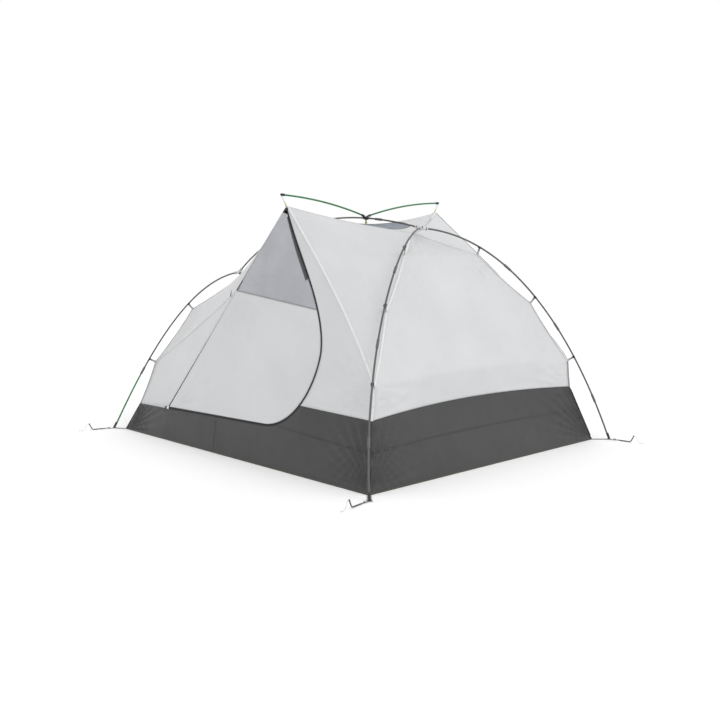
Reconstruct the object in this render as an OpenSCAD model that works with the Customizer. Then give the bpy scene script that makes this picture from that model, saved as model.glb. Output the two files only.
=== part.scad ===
// Free-standing backpacking tent, inner body pitched on its poles.
// X runs from the low end to the high end, -Y is the front door side, +Z is up.
// Side functions take y as a distance outwards from the middle; front is -1 and rear is +1.

/* [Size] */
// Foot to foot along the tent, mm
foot_length = 2216; // [1800:2:2700]
// Foot to foot across the high end, mm
foot_width = 1872; // [1500:2:2300]
// Height of the ridge hub over the ground, mm
ridge_height = 1212; // [1000:2:1500]

/* [Frame] */
// Pole tube diameter, mm
pole_d = 9; // [7:0.5:12]
// Radial room between a pole and what it slides into, mm
pole_room = 0.25; // [0.2:0.05:0.5]
// Wall of hub sockets, clips and ferrules, mm
sleeve_wall = 3; // [2:0.5:4]
// Distance a canopy clip holds the fabric off the pole, mm
clip_reach = 40; // [34:1:60]

/* [Fabric] */
// Thickness of the canopy, tub and floor panels, mm
fabric_t = 1.5; // [1:0.1:3]
// Distance each panel edge stays back from the line it is sewn on, mm
seam_gap = 2.5; // [2:0.1:5]
// Radius of each half of the zip, mm
coil_r = 2; // [1.5:0.1:3]
// Distance from the zip line to the middle of each half, mm
coil_offset = 2.8; // [2.4:0.1:4]

/* [Stakes] */
// Stake wire diameter, mm
stake_d = 6; // [4:0.5:8]
// Length of the stake that lies on the ground, mm
stake_length = 104; // [80:1:180]
// Length of the upturned head, mm
stake_head = 38; // [25:1:60]

/* [Hidden] */
$fn = 40;
front = -1;
rear = 1;

// The shape is drawn at a nominal size and stretched to the chosen one.
sx = foot_length / 2216;
sy = foot_width / 1872;
sz = ridge_height / 1212;
function at(x, y, z) = [x * sx, y * sy, z * sz];
function side(p, s) = [p[0], p[1] * s, p[2]];
function unit(v) = v / norm(v);
function mix(a, b, t) = a + (b - a) * t;
function bez(c, t) = c[0] * pow(1 - t, 3) + 3 * c[1] * t * pow(1 - t, 2)
  + 3 * c[2] * t * t * (1 - t) + c[3] * pow(t, 3);
function spread(a, b, n) = [for (i = [0:n]) mix(a, b, i / n)];

// Frame: hub centres, pole feet and the bend of each pole
pole_r = pole_d / 2;
bore_r = pole_r + pole_room;
sleeve_r = bore_r + sleeve_wall;
hub_high_at = at(547, 0, 1146);
hub_low_at = at(-973, 0, 901);
foot_high_at = at(1108, 936, 0);
foot_low_at = at(-1108, 827, 0);
ridge_at = at(150, 0, 1212);
tip_at = at(150, 600, 1307);
leg_high = [hub_high_at, at(781, 422, 1117), at(936, 809, 597), foot_high_at];
leg_low = [hub_low_at, at(-1017, 335, 858), at(-1065, 604, 443), foot_low_at];
spine = [hub_low_at, at(-511, 0, 1262), at(55, 0, 1257), hub_high_at];
ridge = [at(150, 0, 1214), at(150, 150, 1256), at(150, 350, 1299), tip_at];
hub_core_r = 11;
socket_len = 36;
pole_start = 14;
foot_r = 7;
foot_sleeve = 30;
swell = 0.06;
ferrule_len = 46;
ferrule_r = pole_r + pole_room + 1;
clip_len = 14;
clip_arm_r = 3.5;
clip_arm_end = 18;
hub_half = 17;
tab_t = 1.6;
tab_w = 12;
hair = 0.5;

// Marks along each pole as its share and the length held straight there, 0 for a plain bend
bend = 0;
colour_change = 0.745;
ridge_share = 0.739;
marks_high = [[0.05, bend], [0.11, bend], [0.17, bend], [0.235, clip_len], [0.3, bend],
  [0.36, ferrule_len], [0.43, bend], [0.5, clip_len], [0.56, bend], [0.62, ferrule_len],
  [0.675, bend], [0.73, clip_len], [0.8, bend], [0.87, ferrule_len], [0.94, bend]];
marks_low = [[0.05, bend], [0.11, bend], [0.17, bend], [0.23, bend], [0.3, bend], [0.375, clip_len],
  [0.45, bend], [0.53, bend], [0.61, bend], [0.69, clip_len]];
marks_tip = [[0.82, bend], [0.88, bend], [0.94, bend]];
marks_spine = [[0.05, bend], [0.1, bend], [0.15, bend], [0.2, bend], [0.25, ferrule_len],
  [0.31, bend], [0.37, bend], [0.43, bend], [0.49, bend], [0.55, bend], [0.61, bend], [0.67, bend],
  [ridge_share, 2 * hub_half], [0.8, ferrule_len], [0.86, bend], [0.91, bend], [0.95, bend]];
function shares(marks, len) = [for (m = marks) if (m[1] == len) m[0]];
clips_high = shares(marks_high, clip_len);
clips_low = shares(marks_low, clip_len);

// Fabric: peaks, corners and the points where the canopy hangs off the poles
peak_at = at(150, 560, 1250);
peak_half = 14;
roof_low_at = at(150, 0, 1174);
apex_high_at = at(490, 0, 1125);
apex_low_at = at(-945, 0, 870);
apex_half = 18;
corner_high_at = at(1040, 870, 0);
corner_low_at = at(-1040, 790, 0);
tub_high_at = at(955, 768, 295);
tub_low_at = at(-1000, 715, 147);
tub_mid_high_at = at(905, 0, 318);
tub_mid_low_at = at(-975, 0, 150);
hang_high = at(500, 0, 0);
hang_low = at(-500, 0, 0);
function on_leg(leg, hang, t, reach) = bez(leg, t) + reach * unit(hang - bez(leg, t));
edge_high = concat([apex_high_at + [0, apex_half, 0]],
  [for (t = clips_high) on_leg(leg_high, hang_high, t, clip_reach)], [tub_high_at]);
edge_low = concat([apex_low_at + [0, apex_half, 0]],
  [for (t = clips_low) on_leg(leg_low, hang_low, t, clip_reach)], [tub_low_at]);
edge_sag = 0.035;
edge_pull = [0, -0.4, -0.4];
high_leg_edge = [for (i = [0:3]) edge_high[i]];
low_leg_edge = [for (i = [0:2]) edge_low[i]];
function poly_at(pts, t) = let (n = len(pts) - 1, k = min(floor(t * n), n - 1), w = t * n - k)
  mix(pts[k], pts[k + 1], w);
function sagged(pts, t, toward) = let (n = len(pts) - 1, k = min(floor(t * n), n - 1), w = t * n - k)
  mix(pts[k], pts[k + 1], w) + 4 * w * (1 - w) * edge_sag * norm(pts[k + 1] - pts[k]) * toward;

// Side wall: a plane through the floor edge and the peak, drawn in x and z
function floor_y(x) = mix(corner_low_at[1], corner_high_at[1],
  (x - corner_low_at[0]) / (corner_high_at[0] - corner_low_at[0]));
lean = (floor_y(peak_at[0]) - peak_at[1]) / peak_at[2];
function on_wall(q) = [q[0], floor_y(q[0]) - lean * q[1], q[1]];
wall_out = unit([corner_low_at[1] - corner_high_at[1], corner_high_at[0] - corner_low_at[0],
  lean * (corner_high_at[0] - corner_low_at[0])]);
function flat(x, z) = [x * sx, z * sz];
zip_top = [flat(158, 1235), flat(310, 1000), flat(570, 770), flat(585, 560)];
zip_turn = [flat(585, 560), flat(580, 380), flat(450, 200), flat(250, 192)];
zip_end = flat(-624, 171);
hinge_end = flat(-636, 165);
hinge_top = flat(136, 1235);
zip_a = 0.4;
zip_b = 0.7;
function zip_line(t) = t < zip_a ? bez(zip_top, t / zip_a)
  : t < zip_b ? bez(zip_turn, (t - zip_a) / (zip_b - zip_a))
  : mix(zip_turn[3], zip_end, (t - zip_b) / (1 - zip_b));
zip_step = 0.004;
function zip_dir(t) = unit(zip_line(min(t + zip_step, 1)) - zip_line(max(t - zip_step, 0)));
// Positive off moves towards the door
function zip_at(t, off) = zip_line(t) + off * [zip_dir(t)[1], -zip_dir(t)[0]];
zip_mesh = 0.277;
zip_tub = 0.548;
panel_back = coil_offset + coil_r + hair;
hinge_back = 3;
mesh_share = 0.382;
mesh_left = mix(hinge_top, hinge_end, mesh_share);

// Canopy seam from the peak to the lowest clip of a high leg
seam_in = 12;
seam_part = 0.75;
seam = [peak_at + [peak_half + seam_in, 0, 0], at(340, 600, 1085), at(740, 690, 760), edge_high[3]];
function seam_side(t) = t < seam_part ? bez(seam, t / seam_part)
  : mix(edge_high[3], tub_high_at, (t - seam_part) / (1 - seam_part));

// Roof: front edge of each half, and the saddle between the edges
function roof_edge(x) = x < peak_at[0]
  ? let (w = (x - apex_low_at[0]) / (peak_at[0] - apex_low_at[0]))
    mix(edge_low[0], peak_at, w) - [0, 0, 4 * w * (1 - w) * roof_sag_low]
  : let (w = (x - peak_at[0]) / (apex_high_at[0] - peak_at[0]))
    mix(peak_at, edge_high[0], w) - [0, 0, 4 * w * (1 - w) * roof_sag_high];
roof_sag_low = 40;
roof_sag_high = 12;
function roof_mid_z(x) = x < ridge_at[0]
  ? let (w = (x - apex_low_at[0]) / (ridge_at[0] - apex_low_at[0]))
    mix(apex_low_at[2], roof_low_at[2], w) + 4 * w * (1 - w) * spine_lift
  : mix(roof_low_at[2], apex_high_at[2], (x - ridge_at[0]) / (apex_high_at[0] - ridge_at[0]));
spine_lift = 30;
saddle = 1.6;
function roof_at(x, w) = let (e = roof_edge(x))
  [x, e[1] * w, mix(roof_mid_z(x), e[2], pow(w, saddle))];
light_from = 150 * sx;
light_mid = 172 * sx;
light_to = 362 * sx;
light_half = 245 * sy;
function light_y(x) = x <= light_from || x >= light_to ? 0
  : x < light_mid ? light_half * sin(90 * (x - light_from) / (light_mid - light_from))
  : light_half * sqrt(max(0, 1 - pow((x - light_mid) / (light_to - light_mid), 2)));

module on_line(p, q) {
  v = q - p;
  translate(p) rotate([0, acos(v[2] / norm(v)), atan2(v[1], v[0])]) children();
}

module rod(p, q, r) {
  on_line(p, q) cylinder(h = norm(q - p), r = r);
}

module sleeve(p, q, r_out, r_in) {
  on_line(p, q) difference() {
    cylinder(h = norm(q - p), r = r_out);
    translate([0, 0, -1]) cylinder(h = norm(q - p) + 2, r = r_in);
  }
}

module bent(pts, r) {
  for (i = [0:len(pts) - 2]) rod(pts[i], pts[i + 1], r);
  for (i = [1:len(pts) - 2]) translate(pts[i]) sphere(r = r + swell);
}

// A pole is straight inside each fitting: the chord of its curve that reaches just past the fitting
tiny = 0.004;
past = 5;
function speed(c, t) = norm(bez(c, t + tiny) - bez(c, t - tiny)) / (2 * tiny);
function chord(c, t, len) = let (d = (len / 2 + past) / speed(c, t)) [bez(c, t - d), bez(c, t + d)];
function seat(c, t, len) = let (q = chord(c, t, len)) (q[0] + q[1]) / 2;
function seat_way(c, t, len) = let (q = chord(c, t, len)) unit(q[1] - q[0]);
function line(c, marks) = [for (m = marks) each m[1] == bend ? [bez(c, m[0])] : chord(c, m[0], m[1])];
function hub_way(c, marks) = unit(bez(c, marks[0][0]) - c[0]);
function foot_at(c) = c[3] + [0, 0, foot_r];
function foot_way(c, marks) = unit(bez(c, marks[len(marks) - 1][0]) - foot_at(c));
function sided(pts, s) = [for (p = pts) side(p, s)];

// Closed sheet on a grid of points, thickened away from the face that out points to
function grid_n(g, i, j) = let (n = len(g) - 1, m = len(g[0]) - 1,
  a = g[min(i + 1, n)][j] - g[max(i - 1, 0)][j],
  b = g[i][min(j + 1, m)] - g[i][max(j - 1, 0)]) unit(cross(a, b));
function held_back(g, d) = let (n = len(g) - 1, m = len(g[0]) - 1)
  [for (i = [0:n]) [for (j = [0:m]) g[i][j]
    + (i == 0 ? d * unit(g[1][j] - g[0][j]) : i == n ? d * unit(g[n - 1][j] - g[n][j]) : [0, 0, 0])
    + (j == 0 ? d * unit(g[i][1] - g[i][0]) : j == m ? d * unit(g[i][m - 1] - g[i][m]) : [0, 0, 0])]];

module sheet(g, inner) {
  n = len(g) - 1;
  m = len(g[0]) - 1;
  w = m + 1;
  base = (n + 1) * w;
  top = [for (i = [0:n]) for (j = [0:m]) g[i][j]];
  low = [for (i = [0:n]) for (j = [0:m]) g[i][j] + inner * fabric_t * grid_n(g, i, j)];
  flip = inner > 0;
  quads = concat(
    [for (i = [0:n - 1]) for (j = [0:m - 1])
      [i * w + j, i * w + j + 1, (i + 1) * w + j + 1, (i + 1) * w + j]],
    [for (i = [0:n - 1]) for (j = [0:m - 1])
      [base + i * w + j, base + (i + 1) * w + j, base + (i + 1) * w + j + 1, base + i * w + j + 1]],
    [for (j = [0:m - 1]) [j + 1, j, base + j, base + j + 1]],
    [for (j = [0:m - 1]) [n * w + j, n * w + j + 1, base + n * w + j + 1, base + n * w + j]],
    [for (i = [0:n - 1]) [i * w, (i + 1) * w, base + (i + 1) * w, base + i * w]],
    [for (i = [0:n - 1]) [(i + 1) * w + m, i * w + m, base + i * w + m, base + (i + 1) * w + m]]);
  tris = [for (q = quads) each [[q[0], q[1], q[2]], [q[0], q[2], q[3]]]];
  polyhedron(points = concat(top, low), faces = flip ? [for (t = tris) [t[0], t[2], t[1]]] : tris);
}

// Grid filling the four edges of a panel; v runs from top to bottom and u from left to right
function fill(top, bottom, left, right, n, m) =
  [for (i = [0:n]) let (v = i / n) [for (j = [0:m]) let (u = j / m)
    (1 - v) * top(u) + v * bottom(u) + (1 - u) * left(v) + u * right(v)
    - (1 - u) * (1 - v) * top(0) - u * (1 - v) * top(1) - (1 - u) * v * bottom(0) - u * v * bottom(1)]];
function mirrored(g, s) = [for (r = g) [for (p = r) side(p, s)]];

module panel(g, s) {
  sheet(held_back(mirrored(g, s), seam_gap), -s);
}

// Tube along a path that lies near the side wall
coil_sides = 8;
module coil(ta, tb, off, s, steps) {
  rings = [for (t = spread(ta, tb, steps)) let (c = on_wall(zip_at(t, off)),
    d = unit(on_wall(zip_at(min(t + zip_step, 1), off)) - on_wall(zip_at(max(t - zip_step, 0), off))),
    e = cross(d, wall_out))
    [for (k = [0:coil_sides - 1]) side(c + coil_r * (cos(360 * k / coil_sides) * e
      + sin(360 * k / coil_sides) * wall_out), s)]];
  tube(rings, coil_sides, -s);
}

module tube(rings, sides, turn) {
  n = len(rings) - 1;
  pts = [for (r = rings) each r];
  around = [for (i = [0:n - 1]) for (k = [0:sides - 1]) let (q = (k + 1) % sides)
    each [[i * sides + k, i * sides + q, (i + 1) * sides + q],
      [i * sides + k, (i + 1) * sides + q, (i + 1) * sides + k]]];
  ends = [[for (k = [0:sides - 1]) sides - 1 - k], [for (k = [0:sides - 1]) n * sides + k]];
  all = concat(around, ends);
  polyhedron(points = pts, faces = turn > 0 ? [for (f = all) [for (k = [len(f) - 1:-1:0]) f[k]]] : all);
}

// Poles and hubs
foot_bore = 3;
foot_in = 4;
function pole_top(c, marks) = c[0] + pole_start * hub_way(c, marks);
function pole_foot(c, marks) = foot_at(c) + foot_in * foot_way(c, marks);
high_pts = concat([pole_top(leg_high, marks_high)], line(leg_high, marks_high),
  [pole_foot(leg_high, marks_high)]);
joint_at = seat(leg_low, colour_change, ferrule_len);
joint_way = seat_way(leg_low, colour_change, ferrule_len);
joint_ends = chord(leg_low, colour_change, ferrule_len);
low_pts = concat([pole_top(leg_low, marks_low)], line(leg_low, marks_low),
  [joint_ends[0], joint_at - hair * joint_way]);
tip_pts = concat([joint_at + hair * joint_way, joint_ends[1]], line(leg_low, marks_tip),
  [pole_foot(leg_low, marks_tip)]);
spine_end_way = unit(bez(spine, marks_spine[len(marks_spine) - 1][0]) - hub_high_at);
spine_pts = concat([pole_top(spine, marks_spine)], line(spine, marks_spine),
  [hub_high_at + pole_start * spine_end_way]);

module spine_pole() {
  color("#5a5a55") bent(spine_pts, pole_r);
}

bore_back = 2;
module hub(c, ways) {
  difference() {
    union() {
      translate(c) sphere(r = hub_core_r);
      for (w = ways) rod(c, c + socket_len * w, sleeve_r);
    }
    for (w = ways) rod(c + (pole_start - bore_back) * w, c + (socket_len + bore_back) * w, bore_r);
  }
}

module hub_high() {
  way = hub_way(leg_high, marks_high);
  color("#d8dadb") hub(hub_high_at, [side(way, front), side(way, rear), spine_end_way]);
}

module hub_low() {
  way = hub_way(leg_low, marks_low);
  color("#d8dadb") hub(hub_low_at, [side(way, front), side(way, rear), hub_way(spine, marks_spine)]);
}

module leg_front_high() {
  color("#5a5a55") bent(sided(high_pts, front), pole_r);
}

module leg_rear_high() {
  color("#5a5a55") bent(sided(high_pts, rear), pole_r);
}

module leg_front_low() {
  color("#5a5a55") bent(sided(low_pts, front), pole_r);
}

module leg_rear_low() {
  color("#5a5a55") bent(sided(low_pts, rear), pole_r);
}

module leg_tip_front_low() {
  color("#3f8a52") bent(sided(tip_pts, front), pole_r);
}

module leg_tip_rear_low() {
  color("#3f8a52") bent(sided(tip_pts, rear), pole_r);
}

module ferrule(c, t, s) {
  p = side(seat(c, t, ferrule_len), s);
  w = side(seat_way(c, t, ferrule_len), s);
  sleeve(p - w * ferrule_len / 2, p + w * ferrule_len / 2, ferrule_r + 1, ferrule_r);
}

module pole_ferrules() {
  color("#6d6f6c") for (s = [front, rear]) {
    for (t = shares(marks_high, ferrule_len)) ferrule(leg_high, t, s);
    ferrule(leg_low, colour_change, s);
  }
  color("#6d6f6c") for (t = shares(marks_spine, ferrule_len)) ferrule(spine, t, front);
}

module foot(c, marks, s) {
  p = side(foot_at(c), s);
  way = side(foot_way(c, marks), s);
  difference() {
    union() {
      translate(p) sphere(r = foot_r);
      rod(p, p + way * foot_sleeve, sleeve_r - 1);
    }
    rod(p + way * foot_bore, p + way * (foot_sleeve + bore_back), bore_r);
  }
}

module pole_feet() {
  color("#26282a") for (s = [front, rear]) {
    foot(leg_high, marks_high, s);
    foot(leg_low, marks_tip, s);
  }
}

// Ridge pole across the tent, its hub, caps and toggle
ridge_first = 0.045;
ridge_last = 0.985;
ridge_steps = 8;
ridge_pts = [for (t = spread(ridge_first, ridge_last, ridge_steps)) bez(ridge, t)];
ridge_first_way = unit(ridge_pts[1] - ridge_pts[0]);
ridge_last_way = unit(ridge_pts[ridge_steps] - ridge_pts[ridge_steps - 1]);

module ridge_pole_front() {
  color("#3f8a52") bent(sided(ridge_pts, front), pole_r);
}

module ridge_pole_rear() {
  color("#3f8a52") bent(sided(ridge_pts, rear), pole_r);
}

arm_len = 10;
socket_in = 12;
stem_len = 10;
stem_r = 4.5;
hub_wall_more = 0.5;
ridge_hub_at = seat(spine, ridge_share, 2 * hub_half);
ridge_hub_way = seat_way(spine, ridge_share, 2 * hub_half);
module ridge_hub() {
  color("#1c1d1f") difference() {
    union() {
      rod(ridge_hub_at - hub_half * ridge_hub_way, ridge_hub_at + hub_half * ridge_hub_way,
        sleeve_r + hub_wall_more);
      rod(ridge_hub_at, ridge_hub_at - [0, 0, sleeve_r + hub_wall_more + stem_len], stem_r);
      for (s = [front, rear]) rod(ridge_hub_at, side(ridge_pts[0] + arm_len * ridge_first_way, s),
        sleeve_r - hub_wall_more);
    }
    rod(ridge_hub_at - (hub_half + past) * ridge_hub_way,
      ridge_hub_at + (hub_half + past) * ridge_hub_way, bore_r);
    for (s = [front, rear]) rod(side(ridge_pts[0] - bore_back * ridge_first_way, s),
      side(ridge_pts[0] + (arm_len + socket_in) * ridge_first_way, s), bore_r);
  }
}

cap_in = 16;
cap_out = 6;
cap_r = pole_r + 2;
cap_eye_r = 4;
module ridge_caps() {
  color("#1c1d1f") for (s = [front, rear]) {
    w = side(ridge_last_way, s);
    p = side(ridge_pts[ridge_steps], s);
    difference() {
      rod(p - w * cap_in, p + w * cap_out, cap_r + pole_room);
      rod(p - w * (cap_in + past), p + w, bore_r);
    }
    translate(p + w * cap_out) rotate([90, 0, 0]) translate([0, -cap_out, -cap_eye_r / 2])
      cylinder(h = cap_eye_r, r = cap_eye_r);
  }
}

toggle_r = 4;
bar_up = 7.5;
cross_bar_l = 18;
cross_bar_r = 3;
module ridge_toggle() {
  low = roof_low_at[2] + fabric_t + hair;
  top = ridge_hub_at[2] - sleeve_r - hub_wall_more - stem_len - hair;
  color("#a6c83c") translate([ridge_at[0], 0, 0]) {
    translate([0, 0, low]) cylinder(h = top - low, r = toggle_r);
    translate([0, -cross_bar_l / 2, low + bar_up - cross_bar_r / 2]) rotate([-90, 0, 0])
      cylinder(h = cross_bar_l, r = cross_bar_r);
  }
}

// Clips that hang the canopy off the legs
function clip_seat(c, t, s) = side(seat(c, t, clip_len), s);
function clip_way(c, hang, t, s) = unit(hang - clip_seat(c, t, s));
module clip(c, hang, t, s) {
  p = clip_seat(c, t, s);
  w = side(seat_way(c, t, clip_len), s);
  difference() {
    union() {
      rod(p - w * clip_len / 2, p + w * clip_len / 2, sleeve_r);
      rod(p, p + clip_way(c, hang, t, s) * clip_arm_end, clip_arm_r);
    }
    rod(p - w * clip_len, p + w * clip_len, bore_r);
  }
}

module canopy_clips() {
  color("#1c1d1f") for (s = [front, rear]) {
    for (t = clips_high) clip(leg_high, hang_high, t, s);
    for (t = clips_low) clip(leg_low, hang_low, t, s);
  }
}

module tab(p, way) {
  from = clip_arm_end + hair;
  to = clip_reach - hair - fabric_t;
  on_line(p + way * from, p + way * to) translate([-tab_t / 2, -tab_w / 2, 0])
    cube([tab_t, tab_w, to - from]);
}

module clip_tabs() {
  color("#a5a0a4") for (s = [front, rear]) {
    for (t = clips_high) tab(clip_seat(leg_high, t, s), clip_way(leg_high, hang_high, t, s));
    for (t = clips_low) tab(clip_seat(leg_low, t, s), clip_way(leg_low, hang_low, t, s));
  }
}

hub_tab_from = 17;
apex_over = 1.5;
apex_past = 6;
module hub_tab(hub_p, apex) {
  v = apex - hub_p;
  on_line(hub_p + unit(v) * hub_tab_from, apex)
    translate([-tab_t / 2, -tab_w / 2, 0]) cube([tab_t, tab_w, norm(v) - hub_tab_from]);
}

module hub_tabs() {
  color("#c9cbcc") {
    hub_tab(hub_high_at, apex_high_at + [apex_past, 0, apex_over]);
    hub_tab(hub_low_at, apex_low_at + [-apex_past, 0, apex_over]);
  }
}

hook_len = 22;
strand = 3;
hook_r = 3;
strand_r = 1;
module tip_hooks() {
  color("#a6c83c") for (s = [front, rear]) {
    eye = side(ridge_pts[ridge_steps], s) - [0, 0, cap_r + cap_eye_r];
    low = side(peak_at, s) + [0, 0, hook_r];
    way = unit(eye - low);
    rod(low, low + way * hook_len, hook_r);
    for (k = [-1, 1]) rod(low + way * (hook_len - 2 * strand_r) + [2 * k * strand_r, 0, 0],
      eye + [k * strand, 0, 0], strand_r);
    translate(eye - [strand + strand_r, 0, 0]) rotate([0, 90, 0])
      cylinder(h = 2 * (strand + strand_r), r = strand_r);
  }
}

// Floor and tub
floor_inset = 4;
module floor_sheet() {
  low_x = corner_low_at[0] + floor_inset;
  low_y = corner_low_at[1] - floor_inset;
  high_x = corner_high_at[0] - floor_inset;
  high_y = corner_high_at[1] - floor_inset;
  color("#3d3f40") linear_extrude(height = fabric_t + hair)
    polygon([[low_x, -low_y], [high_x, -high_y], [high_x, high_y], [low_x, low_y]]);
}

function corner_high(v) = mix(tub_high_at, corner_high_at, v);
function corner_low(v) = mix(tub_low_at, corner_low_at, v);
// Top edge of the tub along a side: up from the low corner, under the door, then up to the high corner
tub_under = panel_back + 1;
tub_door_a = 0.14;
tub_door_b = 0.78;
function under_door(t) = on_wall(zip_at(t, -tub_under));
function tub_edge(u) = u < tub_door_a ? mix(tub_low_at, under_door(1), u / tub_door_a)
  : u < tub_door_b ? under_door(mix(1, zip_tub, (u - tub_door_a) / (tub_door_b - tub_door_a)))
  : mix(under_door(zip_tub), tub_high_at, (u - tub_door_b) / (1 - tub_door_b));
function foot_x(x) = mix(corner_low_at[0], corner_high_at[0],
  (x - tub_low_at[0]) / (tub_high_at[0] - tub_low_at[0]));
function tub_foot(u) = let (x = foot_x(tub_edge(u)[0])) [x, floor_y(x), 0];
tub_grid = fill(function (u) tub_edge(u), function (u) tub_foot(u), function (v) corner_low(v),
  function (v) corner_high(v), 4, 36);

module tub_side(s) {
  color("#505154") panel(tub_grid, s);
}

module tub_front() {
  tub_side(front);
}

module tub_rear() {
  tub_side(rear);
}

// End walls run from the front leg edge to the rear leg edge
function arc3(a, m, b, u) = mix(a, b, u) + 4 * u * (1 - u) * (m - (a + b) / 2);
function end_grid(edge, mid, n) = fill(
  function (u) mix(side(edge[0], front), edge[0], u),
  function (u) arc3(side(edge[len(edge) - 1], front), mid, edge[len(edge) - 1], u),
  function (v) side(sagged(edge, v, edge_pull), front), function (v) sagged(edge, v, edge_pull), n, 8);
function tub_end_grid(top_at, mid, low_at) = fill(
  function (u) arc3(side(top_at, front), mid, top_at, u), function (u) mix(side(low_at, front), low_at, u),
  function (v) side(mix(top_at, low_at, v), front), function (v) mix(top_at, low_at, v), 4, 10);

module end_panel(g, way) {
  sheet(held_back(g, seam_gap), way);
}

module wall_high() {
  color("#d9dbdd") end_panel(end_grid(edge_high, tub_mid_high_at, 16), 1);
}

module wall_low() {
  color("#d9dbdd") end_panel(end_grid(edge_low, tub_mid_low_at, 12), -1);
}

module tub_high() {
  color("#505154") end_panel(tub_end_grid(tub_high_at, tub_mid_high_at, corner_high_at), 1);
}

module tub_low() {
  color("#505154") end_panel(tub_end_grid(tub_low_at, tub_mid_low_at, corner_low_at), -1);
}

// Side wall between the zip and the canopy seam
side_first = 0.01;
side_share = 0.985;
side_grid = fill(
  function (u) mix(on_wall(zip_at(side_first, -panel_back)), seam_side(side_first), u),
  function (u) mix(on_wall(zip_at(zip_tub, -panel_back)), seam_side(side_share), u),
  function (v) on_wall(zip_at(mix(side_first, zip_tub, v), -panel_back)),
  function (v) seam_side(mix(side_first, side_share, v)), 16, 5);

module side_high(s) {
  color("#c8cacc") panel(side_grid, s);
}

module side_front_high() {
  side_high(front);
}

module side_rear_high() {
  side_high(rear);
}

// Fixed corner of the side wall below the gusset on the low side of the hinge line
hinge_line_a = on_wall(mesh_left) - [hinge_back, 0, 0];
hinge_line_b = on_wall(hinge_end) - [hinge_back, 0, 0];
lower_clip = edge_low[2];
side_low_grid = fill(
  function (u) mix(lower_clip, hinge_line_a, u), function (u) mix(tub_low_at, hinge_line_b, u),
  function (v) mix(lower_clip, tub_low_at, v), function (v) mix(hinge_line_a, hinge_line_b, v), 6, 6);

module side_low(s) {
  color("#c8cacc") panel(side_low_grid, s);
}

module side_front_low() {
  side_low(front);
}

module side_rear_low() {
  side_low(rear);
}

// Gussets between a side wall and a leg
gusset_high_end = 0.94;
gusset_low_end = 0.97;
function high_top(u) = roof_edge(mix(peak_at[0] + peak_half, apex_high_at[0], u));
gusset_high_grid = fill(
  function (u) high_top(u),
  function (u) mix(bez(seam, gusset_high_end), sagged(high_leg_edge, gusset_high_end, edge_pull), u),
  function (v) v == 0 ? high_top(0) : bez(seam, gusset_high_end * v),
  function (v) sagged(high_leg_edge, gusset_high_end * v, edge_pull), 12, 6);

module gusset_high(s) {
  color("#dcdee0") panel(gusset_high_grid, s);
}

module gusset_front_high() {
  gusset_high(front);
}

module gusset_rear_high() {
  gusset_high(rear);
}

function low_top(u) = roof_edge(mix(peak_at[0] - peak_half, apex_low_at[0], u));
hinge_line_top = on_wall(hinge_top) - [hinge_back, 0, 0];
low_bulge = [25, 0, -12];
low_seam = [hinge_line_top, mix(hinge_line_top, hinge_line_a, 0.5), hinge_line_a,
  mix(hinge_line_a, lower_clip, 0.5) + low_bulge, lower_clip];
gusset_low_grid = fill(
  function (u) low_top(u),
  function (u) mix(poly_at(low_seam, gusset_low_end), sagged(low_leg_edge, gusset_low_end, edge_pull), u),
  function (v) v == 0 ? low_top(0) : poly_at(low_seam, gusset_low_end * v),
  function (v) sagged(low_leg_edge, gusset_low_end * v, edge_pull), 12, 6);

module gusset_low(s) {
  color("#dcdee0") panel(gusset_low_grid, s);
}

module gusset_front_low() {
  gusset_low(front);
}

module gusset_rear_low() {
  gusset_low(rear);
}

// Roof: two halves that meet along the middle, with a skylight towards the high end
roof_low_cells = 10;
roof_high_cells = 14;
roof_xs = concat(spread(apex_low_at[0], peak_at[0], roof_low_cells), [mix(peak_at[0], light_mid, 0.5)],
  spread(light_mid, apex_high_at[0], roof_high_cells));
roof_rows = 6;
roof_grid = [for (x = roof_xs) let (e = roof_edge(x)[1], y = light_y(x))
  [for (i = [0:roof_rows]) roof_at(x, mix(y / e, 1, i / roof_rows))]];

module roof_half(s) {
  color("#dfe1e3") sheet(held_back(mirrored(roof_grid, s), seam_gap), s);
}

module roof_front() {
  roof_half(front);
}

module roof_rear() {
  roof_half(rear);
}

light_start_in = 12;
light_end_in = 4;
light_cols = 6;
light_xs = spread(light_from + light_start_in, light_to - light_end_in, 14);
light_grid = [for (x = light_xs) let (e = roof_edge(x)[1], y = light_y(x))
  [for (i = [-light_cols:light_cols]) side(roof_at(x, abs(i) / light_cols * y / e), sign(i))]];

module skylight() {
  color("#8f97a6") sheet(held_back(light_grid, seam_gap), 1);
}

// Doors: mesh at the top and fabric below, in one plane with the side wall
function door_hinge(t) = on_wall(mix(hinge_top, hinge_end, t)) + [hinge_back, 0, 0];
function door_edge(t) = on_wall(zip_at(t, panel_back));
door_first = 0.02;
mesh_grid = fill(
  function (u) mix(door_hinge(door_first), door_edge(door_first), u),
  function (u) mix(door_hinge(mesh_share), door_edge(zip_mesh), u),
  function (v) door_hinge(mix(door_first, mesh_share, v)),
  function (v) door_edge(mix(door_first, zip_mesh, v)), 10, 5);
door_last = 0.998;
door_grid = fill(
  function (u) mix(door_hinge(mesh_share), door_edge(zip_mesh), u),
  function (u) door_edge(mix(door_last, zip_b, u)),
  function (v) mix(door_hinge(mesh_share), door_edge(door_last), v),
  function (v) door_edge(mix(zip_mesh, zip_b, v)), 14, 10);

module door_mesh(s) {
  color("#a9acb2") panel(mesh_grid, s);
}

module door_panel(s) {
  color("#c8cacc") panel(door_grid, s);
}

module door_front() {
  door_panel(front);
}

module door_rear() {
  door_panel(rear);
}

module door_mesh_front() {
  door_mesh(front);
}

module door_mesh_rear() {
  door_mesh(rear);
}

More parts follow.
